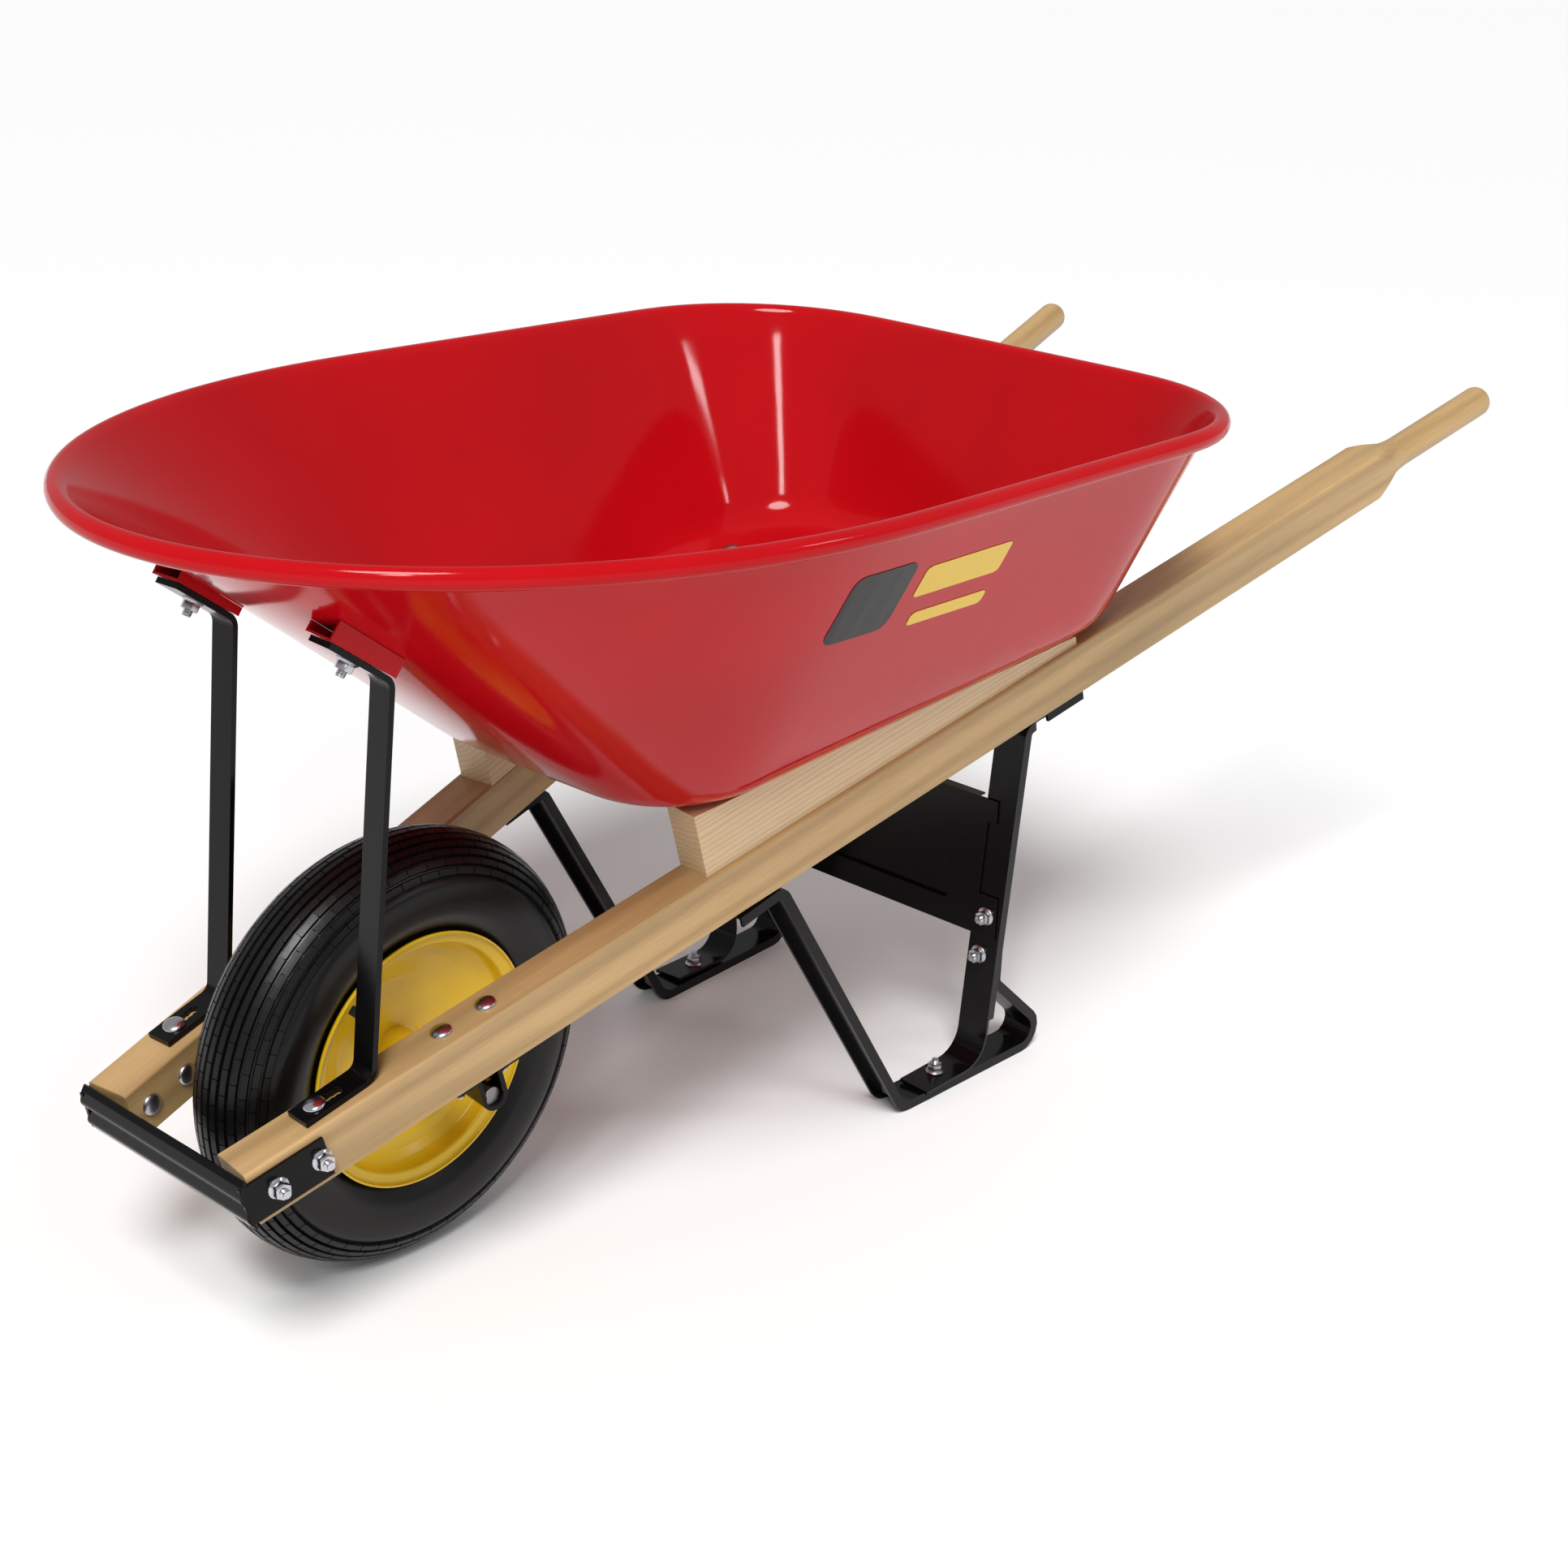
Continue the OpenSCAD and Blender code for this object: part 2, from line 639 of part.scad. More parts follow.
// ---- axle brackets, axle and spacers ----
// The axle's place in the handle's frame: its distance back and its drop below the top.
axle_s = front_reach * rise_c / splay_c + (tyre_r - front_z) * rise_s;
axle_drop = front_reach * rise_s / splay_c + (front_z - tyre_r) * rise_c;
module at_axle_bolts()
    for (side = [-1, 1])
        translate([axle_s + side * axle_bolt_half_gap, beam_mid, 0])
            children();

module axle_bracket()
    color([0.05, 0.05, 0.06])
        difference() {
            on_handle()
                difference() {
                    translate([axle_s, beam_mid, 0])
                        rotate([90, 0, 0])
                            linear_extrude(axle_bracket_w, center = true)
                                axle_bracket_outline();
                    at_axle_bolts()
                        bolt_hole(2 * beam_h);
                }
            axle_bore();
        }
// The strap's path along its upper face: flange, wall, half round under the axle, wall, flange.
module axle_bracket_outline() {
    flange_x = axle_bolt_half_gap + head_d / 2;
    top = -beam_h - face_gap;
    low = -axle_drop - axle_r;
    half = [[-flange_x, top, 0], [-axle_r, top, axle_eye_wall + 1], [-axle_r, low, 0.98 * axle_r]];
    path = concat(half, [for (k = [2 : -1 : 0]) [-half[k][0], half[k][1], half[k][2]]]);
    strip(bent_path(path), -axle_eye_wall, 0);
}
// A bore along Y through the bracket's eye, for the axle.
module axle_bore()
    translate([0, 0, tyre_r])
        rotate([90, 0, 0])
            cylinder(3 * axle_l, r = axle_r + running_gap, center = true);

module axle()
    color("silver")
        from_axle()
            translate([0, 0, tyre_r])
                rotate([90, 0, 0])
                    cylinder(axle_l, r = axle_r, center = true);

module axle_spacer() {
    inner = hub_l / 2 + 2 * face_gap;
    outer = handle_mid(0) - axle_bracket_w / 2 - axle_bracket_w * splay_s / 2;
    color("dimgray")
        translate([0, -inner, tyre_r])
            rotate([90, 0, 0])
                difference() {
                    cylinder(outer - inner, d = spacer_d);
                    translate([0, 0, -1])
                        cylinder(outer, r = axle_r + running_gap);
                }
}

// ---- wheel ----
// Everything round turns about the axle: X is the radius and Y the distance from the middle.
module turned()
    from_axle()
        translate([0, 0, tyre_r])
            rotate([90, 0, 0])
                rotate_extrude($fn = 96)
                    children();
casing_r = tyre_w / 2;
casing_mid = tyre_r - casing_r;
bead_seat_r = rim_seat_d / 2;
flange_r = rim_flange_d / 2;
bead_half_w = rim_w / 2 - 6.5;
tube_t = 3;

// The casing's section: the angles where its outer and inner walls meet the beads.
bead_low_r = bead_seat_r + rim_t + face_gap;
bead_out = bead_half_w - face_gap;
bead_in = bead_out - tyre_wall - 1;
function casing_arc(r, a, n) =
    [for (k = [0 : n]) [casing_mid + r * cos(mix(-a, a, k / n)), r * sin(mix(-a, a, k / n))]];
casing_end = 180 - asin(bead_out / casing_r);
lining_end = 180 - asin(bead_in / (casing_r - tyre_wall));
casing_n = 48;
tyre_outline = concat(casing_arc(casing_r, casing_end, casing_n),
                      [[bead_low_r, bead_out], [bead_low_r, bead_in]],
                      [for (k = [casing_n : -1 : 0])
                          casing_arc(casing_r - tyre_wall, lining_end, casing_n)[k]],
                      [[bead_low_r, -bead_in], [bead_low_r, -bead_out]]);

module tyre()
    color([0.07, 0.07, 0.07])
        turned()
            polygon(tyre_outline);

module inner_tube()
    color("dimgray")
        difference() {
            turned()
                difference() {
                    translate([casing_mid, 0])
                        circle(casing_r - tyre_wall - face_gap, $fn = 96);
                    translate([casing_mid, 0])
                        circle(casing_r - tyre_wall - tube_t, $fn = 96);
                    for (side = [0, 1])
                        mirror([0, side])
                            translate([0, bead_half_w - tyre_wall - 2])
                                square([flange_r + 3, casing_r]);
                }
            valve_axis()
                cylinder(valve_l, r = valve_d / 2 + hole_gap);
        }

// One half of the rim from the hub out: web, cone, step, bead seat, flange and lip.
// The two webs meet back to back on the wheel's middle plane.
web_gap = 0.1;
rim_path = [[hub_d / 2 + nut_gap, rim_t + web_gap], [62, rim_t + web_gap, 14],
            [84, 13, 10], [92, 14.5, 4],
            [bead_seat_r, 22, 6], [bead_seat_r, bead_half_w + rim_t, 3],
            [flange_r, bead_half_w + rim_t + 1, 3], [flange_r + 0.5, rim_w / 2]];
module rim_half()
    rotate_extrude($fn = 96)
        strip(bent_path(rim_path), -rim_t, 0);
// The valve leaves the rim's well at a slant, so that a pump can reach it.
valve_root_y = 17;
valve_l = 28;
valve_cap_l = 12;
valve_tilt = 26;
module valve_axis()
    from_axle()
        translate([0, 0, tyre_r])
            rotate([0, -valve_angle, 0])
                translate([bead_seat_r + 9, -valve_root_y, 0])
                    rotate([0, -90, 0])
                        rotate([valve_tilt, 0, 0])
                            children();

module left_rim_half()
    color("goldenrod")
        difference() {
            from_axle()
                translate([0, 0, tyre_r])
                    rotate([90, 0, 0])
                        rim_half();
            valve_axis()
                cylinder(valve_l, r = valve_d / 2 + hole_gap);
        }
module right_rim_half()
    color("goldenrod")
        from_axle()
            translate([0, 0, tyre_r])
                rotate([-90, 0, 0])
                    rim_half();

module hub()
    color("goldenrod")
        turned()
            translate([hub_d / 2 - hub_wall, -hub_l / 2])
                square([hub_wall, hub_l]);
module bearing()
    color("silver")
        translate([0, -hub_l / 2, tyre_r])
            rotate([-90, 0, 0])
                difference() {
                    cylinder(bearing_l, r = hub_d / 2 - hub_wall);
                    translate([0, 0, -1])
                        cylinder(bearing_l + 2, r = axle_r + running_gap);
                }
module grease_fitting()
    color("goldenrod")
        from_axle()
            translate([0, -25, tyre_r])
                rotate([0, 20, 0]) {
                    translate([0, 0, hub_d / 2])
                        cylinder(6, r = 3);
                    translate([0, 0, hub_d / 2 + 5])
                        cylinder(4, r = 2);
                }
module valve_stem()
    color([0.1, 0.1, 0.1])
        valve_axis()
            cylinder(valve_l, d = valve_d);
module valve_cap()
    color("yellowgreen")
        valve_axis()
            translate([0, 0, valve_l])
                cylinder(valve_cap_l, d = valve_d + 1.6);

// ---- legs ----
// The front strap's plane passes through the front strut's upper bend.
leg_front_half_gap = handle_mid(leg_front_x) + leg_outset;
module on_leg_plane()
    translate([leg_front_x, -leg_front_half_gap, 0])
        rotate([0, 0, -leg_toe])
            translate([-leg_front_x, 0, 0])
                children();
function leg_y(x) = leg_front_half_gap + (x - leg_front_x) * tan(leg_toe);
under_gap = 0.6;
function leg_under(x) = under_z(x, leg_y(x) - leg_w / 2) - under_gap;
flange_front_x = leg_front_x - leg_top_flange_l;
// The loop is turned by leg_toe against the upright, so one edge of it comes nearer.
upright_face = leg_front_x + (upright_x + leg_flange + 2 * face_gap - leg_front_x
                              + leg_w / 2 * sin(leg_toe)) / cos(leg_toe);
toe_dip = head_d / 2 * tan(leg_toe);
leg_path = [[flange_front_x, leg_under(flange_front_x)],
            [leg_front_x, leg_under(leg_front_x), 16],
            [foot_front_x, leg_flange, 18],
            [foot_rear_x, leg_flange, 14],
            [upright_face, loop_bend_z, 14],
            [upright_face, loop_top_z]];
module leg_strap()
    color([0.05, 0.05, 0.06])
        difference() {
            on_leg_plane()
                channel_strap(bent_path(leg_path), leg_w, leg_t, leg_flange);
            on_handle()
                translate([front_tray_bolt_s, beam_mid, 0])
                    bolt_hole(120);
            at_loop_bolt()
                bolt_hole(30);
            at_foot_bolt()
                bolt_hole(30);
        }

// The rear upright leans in from the handle above to the foot below.
upright_top_y = handle_mid(upright_x);
upright_low_y = leg_y(upright_x);
upright_top_z = under_z(upright_x, upright_top_y);
upright_lean = atan2(upright_top_y - upright_low_y, upright_top_z);
foot_pad_x = foot_front_x + 26;
foot_bolt_x = mix(foot_pad_x, upright_x, 0.42);
function upright_y(z) = upright_low_y + z * tan(upright_lean);
module on_upright()
    translate([0, -upright_low_y, 0])
        rotate([upright_lean, 0, 0])
            children();
module at_brace_bolt()
    translate([upright_x + leg_t, -upright_y(brace_bolt_z), brace_bolt_z])
        rotate([0, 90, 0])
            children();
// Halfway between the loop's centre line and the leaning upright's.
loop_bolt_y = (upright_y(loop_bolt_z) + leg_y(upright_x)) / 2;
module at_loop_bolt()
    translate([upright_face + leg_t + toe_dip, -loop_bolt_y, loop_bolt_z])
        rotate([0, 90, 0])
            children();
module at_foot_bolt()
    translate([foot_bolt_x, -leg_y(foot_bolt_x), leg_flange - leg_t])
        rotate([180, 0, 0])
            children();
stub_l = 14;
flange_lead = 4;
upright_bend_r = 13;
upright_stub_z = under_z(upright_x, upright_top_y) - 1.6;
// The foot pad leans with the upright, so one edge of it dips by foot_lift.
foot_lift = leg_w / 2 * sin(upright_lean);
foot_pad_z = leg_flange + leg_t + face_gap + foot_lift;
upright_path = [[foot_pad_x, foot_pad_z],
                [upright_x, foot_pad_z, 26],
                [upright_x, upright_stub_z, upright_bend_r],
                [upright_x + stub_l, upright_stub_z + stub_l * tan(handle_rise)]];
upright_flange_path = [[upright_x, 60], [upright_x, upright_stub_z, upright_bend_r],
                       [upright_x + stub_l, upright_stub_z + stub_l * tan(handle_rise)]];
module leg_upright()
    color([0.05, 0.05, 0.06])
        difference() {
            union() {
                on_upright() {
                    bent_bar(bent_path(upright_path), -leg_t, 0, leg_w);
                    for (side = [-1, 1])
                        translate([0, side * (leg_w - leg_t) / 2, 0])
                            bent_bar(bent_path(upright_flange_path), -leg_flange, 0, leg_t);
                }
                on_handle()
                    translate([handle_s(upright_x), (beam_w - leg_w) / 2,
                               -beam_h - leg_t - face_gap]) {
                        translate([-flange_lead, 0, 0])
                            cube([upright_flange_l, leg_w, leg_t]);
                        for (y = [0, leg_w - leg_t])
                            translate([upright_bend_r, y, -leg_flange + leg_t])
                                cube([upright_flange_l - flange_lead - upright_bend_r,
                                      leg_t, leg_flange]);
                    }
            }
            on_handle()
                translate([rear_tray_bolt_s, beam_mid, 0])
                    bolt_hole(120);
            at_brace_bolt()
                bolt_hole(30);
            at_loop_bolt()
                bolt_hole(30);
            at_foot_bolt()
                bolt_hole(30);
        }

// The brace: a plate with a pressed panel, ears that bolt to the uprights, and hemmed edges.
brace_face = upright_x - face_gap;
// The plate's sides follow the uprights and lie over their inner edges by brace_lap.
brace_lap = 5;
function brace_side(z) = upright_y(z) - leg_w / 2 + brace_lap;
brace_half_w = upright_y(brace_low_z) - leg_w / 2 - 1;
ear_half_w = upright_y(brace_bolt_z) + leg_w / 2 - 5;
ear_h = 2 * (brace_bolt_z - brace_low_z);
top_ear_h = 24;
top_ear_half_w = upright_y(brace_top_z) - leg_w / 2 + 14;
panel_margin = 26;
module brace_outline() {
    polygon([[-brace_side(brace_low_z), brace_low_z], [brace_side(brace_low_z), brace_low_z],
             [brace_side(brace_top_z), brace_top_z], [-brace_side(brace_top_z), brace_top_z]]);
    translate([-ear_half_w, brace_low_z])
        square([2 * ear_half_w, ear_h]);
    translate([-top_ear_half_w, brace_top_z - top_ear_h])
        square([2 * top_ear_half_w, top_ear_h]);
}
module panel_outline(margin)
    translate([-brace_half_w + margin, brace_low_z + margin])
        rounded_rect(2 * (brace_half_w - margin), brace_top_z - brace_low_z - 2 * margin, 8);
module leg_brace()
    color([0.05, 0.05, 0.06])
        from_axle()
            translate([brace_face, 0, 0])
                difference() {
                    rotate([90, 0, -90]) {
                        linear_extrude(brace_t)
                            difference() {
                                brace_outline();
                                panel_outline(panel_margin);
                            }
                        translate([0, 0, -brace_press])
                            linear_extrude(brace_press + brace_t)
                                difference() {
                                    panel_outline(panel_margin - brace_t);
                                    panel_outline(panel_margin);
                                }
                        translate([0, 0, -brace_press])
                            linear_extrude(brace_t)
                                panel_outline(panel_margin - brace_t / 2);
                        for (z = [brace_low_z, brace_top_z - brace_t])
                            translate([-brace_half_w, z, -brace_press - 6])
                                cube([2 * brace_half_w, brace_t, brace_press + 6 + brace_t]);
                    }
                    translate([-brace_face, 0, 0]) {
                        at_brace_bolt()
                            bolt_hole(30);
                        mirror([0, 1, 0])
                            at_brace_bolt()
                                bolt_hole(30);
                    }
                }

// ---- fasteners ----
nose_grip = beam_w + face_gap + bracket_t;
axle_grip = beam_h + face_gap + axle_eye_wall;
strut_foot_grip = strut_seat + foot_dip + beam_h + face_gap;
lug_grip = lug_t + face_gap + strut_t;
// The heads stand level with the handle, and the tray's floor tilts against it.
head_lift = head_d / 2 * tan(handle_rise - floor_slope) + 2 * face_gap
            + beam_mid * splay_s * tan(floor_slope);
front_tray_h = wedge_h(front_tray_bolt_s) + tray_t + head_lift + bend_lift;
rear_tray_h = wedge_h(rear_tray_bolt_s) + tray_t + head_lift + bend_lift;
// The front straps' flanges are turned against the handles, so their edges dip by leg_dip.
leg_dip = leg_w / 2 * splay_s * tan(handle_rise);
front_under = beam_h + under_gap + 2 * leg_dip + leg_t + face_gap;
rear_under = beam_h + 2 * face_gap + leg_t;
brace_grip = leg_t + 2 * face_gap + brace_t;
loop_grip = upright_face - upright_x + toe_dip + leg_t + face_gap;
foot_grip = 2 * leg_t + 2 * face_gap + foot_lift
            + nut_flange_d / 2 * sin(upright_lean);

module nose_bolts()
    color("silver")
        both_sides()
            on_handle()
                at_nose_bolts()
                    carriage_bolt(bolt_l(nose_grip));
module nose_nuts()
    color("silver")
        both_sides()
            on_handle()
                at_nose_bolts()
                    translate([0, 0, -nose_grip])
                        flange_nut();
module axle_bracket_bolts()
    color("silver")
        both_sides()
            on_handle()
                at_axle_bolts()
                    carriage_bolt(bolt_l(axle_grip));
module axle_bracket_nuts()
    color("silver")
        both_sides()
            on_handle()
                at_axle_bolts()
                    translate([0, 0, -axle_grip])
                        flange_nut();
module strut_bolts()
    color("silver")
        both_sides() {
            at_strut_foot_bolt()
                carriage_bolt(bolt_l(strut_foot_grip));
            at_lug_bolt()
                translate([0, 0, lug_t])
                    carriage_bolt(bolt_l(lug_grip));
        }
module strut_nuts()
    color("silver")
        both_sides() {
            at_strut_foot_bolt()
                translate([0, 0, -strut_foot_grip])
                    flange_nut();
            at_lug_bolt()
                translate([0, 0, lug_t - lug_grip])
                    flange_nut();
        }
module tray_bolts()
    color("silver")
        both_sides()
            on_handle() {
                translate([front_tray_bolt_s, beam_mid, front_tray_h])
                    carriage_bolt(bolt_l(front_tray_h + front_under));
                translate([rear_tray_bolt_s, beam_mid, rear_tray_h])
                    carriage_bolt(bolt_l(rear_tray_h + rear_under));
            }
module tray_nuts()
    color("silver")
        both_sides()
            on_handle() {
                translate([front_tray_bolt_s, beam_mid, -front_under])
                    flange_nut();
                translate([rear_tray_bolt_s, beam_mid, -rear_under])
                    flange_nut();
            }
module leg_bolts()
    color("silver")
        both_sides() {
            at_brace_bolt()
                carriage_bolt(bolt_l(brace_grip));
            at_loop_bolt()
                carriage_bolt(bolt_l(loop_grip));
            at_foot_bolt()
                carriage_bolt(bolt_l(foot_grip));
        }
module leg_nuts()
    color("silver")
        both_sides() {
            at_brace_bolt()
                translate([0, 0, -brace_grip])
                    flange_nut();
            at_loop_bolt()
                translate([0, 0, -loop_grip])
                    flange_nut();
            at_foot_bolt()
                translate([0, 0, -foot_grip])
                    flange_nut();
        }

// ---- each side's pieces, and the parts list ----
module left_tray_lug() left() tray_lug();
module right_tray_lug() right() tray_lug();
module left_tray_strut() left() tray_strut();
module right_tray_strut() right() tray_strut();
module left_handle() left() handle();
module right_handle() right() handle();
module left_wedge() left() wedge();
module right_wedge() right() wedge();
module left_axle_bracket() left() axle_bracket();
module right_axle_bracket() right() axle_bracket();
module left_axle_spacer() left() axle_spacer();
module right_axle_spacer() right() axle_spacer();
module left_bearing() left() bearing();
module right_bearing() right() bearing();
module left_leg_strap() left() leg_strap();
module right_leg_strap() right() leg_strap();
module left_leg_upright() left() leg_upright();
module right_leg_upright() right() leg_upright();

tray();
left_tray_lug();
right_tray_lug();
left_tray_strut();
right_tray_strut();
left_handle();
right_handle();
left_wedge();
right_wedge();
nose_bracket();
left_axle_bracket();
right_axle_bracket();
axle();
left_axle_spacer();
right_axle_spacer();
tyre();
inner_tube();
left_rim_half();
right_rim_half();
hub();
left_bearing();
right_bearing();
valve_stem();
valve_cap();
grease_fitting();
left_leg_strap();
right_leg_strap();
left_leg_upright();
right_leg_upright();
leg_brace();
nose_bolts();
nose_nuts();
axle_bracket_bolts();
axle_bracket_nuts();
strut_bolts();
strut_nuts();
tray_bolts();
tray_nuts();
leg_bolts();
leg_nuts();
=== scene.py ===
# %% [markdown]
# # A single-wheel barrow with wooden handles
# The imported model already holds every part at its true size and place. This lesson gives
# each part its finish and rounds off what a plain solid leaves sharp: the rolled tray, the
# ribbed tyre, the threads on the bolts, the grain in the wood. We start by loading the
# model and noting its box, because nothing that we add may be larger.
# %% Load the frame
import math

import bpy
import numpy as np
from mathutils import Matrix, Vector


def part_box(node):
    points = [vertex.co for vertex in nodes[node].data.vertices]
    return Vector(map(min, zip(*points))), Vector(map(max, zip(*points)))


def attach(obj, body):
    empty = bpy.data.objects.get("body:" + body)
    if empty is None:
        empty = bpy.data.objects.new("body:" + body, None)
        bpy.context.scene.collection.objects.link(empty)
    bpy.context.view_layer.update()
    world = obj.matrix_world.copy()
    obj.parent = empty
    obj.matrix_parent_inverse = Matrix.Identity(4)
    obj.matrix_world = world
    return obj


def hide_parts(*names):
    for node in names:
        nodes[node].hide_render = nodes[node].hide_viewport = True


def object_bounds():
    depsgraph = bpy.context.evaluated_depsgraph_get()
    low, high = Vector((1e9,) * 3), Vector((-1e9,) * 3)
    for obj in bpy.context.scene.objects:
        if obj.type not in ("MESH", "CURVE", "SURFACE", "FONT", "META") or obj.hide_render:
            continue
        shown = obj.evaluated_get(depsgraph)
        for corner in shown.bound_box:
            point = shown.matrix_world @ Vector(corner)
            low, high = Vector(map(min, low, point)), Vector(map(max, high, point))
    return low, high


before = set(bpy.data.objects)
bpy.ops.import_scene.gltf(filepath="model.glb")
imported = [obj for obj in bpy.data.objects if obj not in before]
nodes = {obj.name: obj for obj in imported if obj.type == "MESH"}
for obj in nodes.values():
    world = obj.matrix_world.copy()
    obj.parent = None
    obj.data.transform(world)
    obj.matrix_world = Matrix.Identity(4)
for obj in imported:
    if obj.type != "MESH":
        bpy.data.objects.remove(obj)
cad_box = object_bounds()
MM = 0.001
WELD_GAP = 0.01 * MM
axle = (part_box("axle")[0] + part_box("axle")[1]) / 2
tyre_low, tyre_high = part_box("tyre")
tyre_r = (tyre_high.z - tyre_low.z) / 2
print("the barrow measures", [round(v, 3) for v in cad_box[1] - cad_box[0]], "m")

# %% [markdown]
# ## Helpers for working as by hand
# Operators act on whatever is selected, so every step begins with nothing selected and one
# object active. Faces and edges are picked by a test on their place or their normal.
# %% Selection helpers
def activate(piece):
    bpy.ops.object.select_all(action="DESELECT")
    piece.select_set(True)
    bpy.context.view_layer.objects.active = piece


def edit(piece, mode="FACE"):
    """Goes into edit mode with everything in the piece selected."""
    activate(piece)
    bpy.ops.object.mode_set(mode="EDIT")
    bpy.ops.mesh.select_mode(type=mode)
    bpy.ops.mesh.select_all(action="SELECT")


def done():
    bpy.ops.object.mode_set(mode="OBJECT")


def pick_faces(piece, test):
    """Goes into edit mode with only the faces selected that pass the test."""
    edit(piece)
    bpy.ops.mesh.select_all(action="DESELECT")
    done()
    for face in piece.data.polygons:
        face.select = test(face)
    bpy.ops.object.mode_set(mode="EDIT")


def settle(piece):
    """Puts the piece's place into its mesh, so that its object sits at the origin."""
    activate(piece)
    bpy.ops.object.transform_apply(location=True, rotation=True, scale=True)


def modify(piece, kind, **settings):
    modifier = piece.modifiers.new(kind.lower(), kind)
    for name, value in settings.items():
        setattr(modifier, name, value)


def apply_modifiers(piece):
    activate(piece)
    for modifier in list(piece.modifiers):
        bpy.ops.object.modifier_apply(modifier=modifier.name)


def named(name):
    """Names the object that the last operator made."""
    piece = bpy.context.active_object
    piece.name = piece.data.name = name
    return piece


def spun_piece(name, points, steps, center, axis):
    """A closed outline of points, spun once round an axis into a closed skin."""
    bpy.ops.mesh.primitive_circle_add(vertices=len(points), fill_type="NOTHING")
    piece = named(name)
    for vertex, point in zip(piece.data.vertices, points):
        vertex.co = point
    edit(piece, "VERT")
    bpy.ops.mesh.spin(steps=steps, angle=math.tau, center=center, axis=axis)
    bpy.ops.mesh.select_all(action="SELECT")
    bpy.ops.mesh.remove_doubles(threshold=WELD_GAP)
    bpy.ops.mesh.delete_loose(use_faces=False)
    bpy.ops.mesh.select_all(action="SELECT")
    bpy.ops.mesh.normals_make_consistent(inside=False)
    done()
    return piece


def smooth_below(piece, degrees):
    """Shades the piece smooth, except across edges that turn by more than the angle."""
    activate(piece)
    bpy.ops.object.shade_smooth_by_angle(angle=math.radians(degrees))


def add_piece(piece, body, slot, material, *replaced):
    """Gives a finished piece its material, its body and the solids that it stands for."""
    piece.data.materials.clear()
    piece.data.materials.append(material)
    settle(piece)
    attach(piece, body)
    if replaced:
        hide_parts(*replaced)


# %% [markdown]
# ## Shared surface effects
# Paint, rubber and zinc all vary a little: a fine bump, a slow drift of tone and of gloss.
# That is one node group with named sockets, built once and placed in each material with
# its own values. The shader itself stays in the material.
# %% The "surface variation" group
def new_group(name, inputs, outputs):
    group = bpy.data.node_groups.new(name, "ShaderNodeTree")
    for socket, kind, value in inputs:
        made = group.interface.new_socket(socket, in_out="INPUT", socket_type=kind)
        if value is not None:
            made.default_value = value
    for socket, kind in outputs:
        group.interface.new_socket(socket, in_out="OUTPUT", socket_type=kind)
    return group, group.nodes.new("NodeGroupInput"), group.nodes.new("NodeGroupOutput")


FLOAT, COLOR, VECTOR = "NodeSocketFloat", "NodeSocketColor", "NodeSocketVector"


def feed(group, socket, value):
    """Sets a socket to a plain value, or links it to another socket."""
    if isinstance(value, (int, float, tuple)):
        socket.default_value = value
    else:
        group.links.new(value, socket)


def math_node(group, operation, first, second):
    node = group.nodes.new("ShaderNodeMath")
    node.operation = operation
    feed(group, node.inputs[0], first)
    feed(group, node.inputs[1], second)
    return node.outputs[0]


def noise_node(group, vector, scale, detail):
    node = group.nodes.new("ShaderNodeTexNoise")
    node.inputs["Detail"].default_value = detail
    feed(group, node.inputs["Vector"], vector)
    feed(group, node.inputs["Scale"], scale)
    return node.outputs[0]


def map_range(group, value, from_range, to_range):
    node = group.nodes.new("ShaderNodeMapRange")
    names = ("From Min", "From Max", "To Min", "To Max")
    for name, limit in zip(names, (*from_range, *to_range)):
        feed(group, node.inputs[name], limit)
    feed(group, node.inputs["Value"], value)
    return node.outputs[0]


NOISE_MIDDLE = (0.3, 0.7)


def spread(group, noise, low, high):
    """Stretches a noise's middle range over low to high."""
    return map_range(group, noise, NOISE_MIDDLE, (low, high))


def mix_colors(group, factor, first, second):
    node = group.nodes.new("ShaderNodeMix")
    node.data_type = "RGBA"
    for name, value in (("Factor_Float", factor), ("A_Color", first), ("B_Color", second)):
        socket = next(s for s in node.inputs if s.identifier == name)
        feed(group, socket, value)
    return next(s for s in node.outputs if s.identifier == "Result_Color")


variation, given, result = new_group(
    "surface variation",
    [("Vector", VECTOR, None), ("Base", COLOR, (1, 1, 1, 1)), ("Drift", COLOR, (1, 1, 1, 1)),
     ("Drift scale", FLOAT, 6.0), ("Rough low", FLOAT, 0.2), ("Rough high", FLOAT, 0.3),
     ("Peel scale", FLOAT, 300.0)],
    [("Color", COLOR), ("Roughness", FLOAT), ("Height", FLOAT)])
slow = noise_node(variation, given.outputs["Vector"], given.outputs["Drift scale"], 3.0)
patches = spread(variation, slow, 0.0, 1.0)
fine = noise_node(variation, given.outputs["Vector"], given.outputs["Peel scale"], 1.0)
variation.links.new(mix_colors(variation, patches, given.outputs["Base"],
                               given.outputs["Drift"]), result.inputs["Color"])
variation.links.new(spread(variation, slow, given.outputs["Rough low"],
                           given.outputs["Rough high"]), result.inputs["Roughness"])
variation.links.new(fine, result.inputs["Height"])

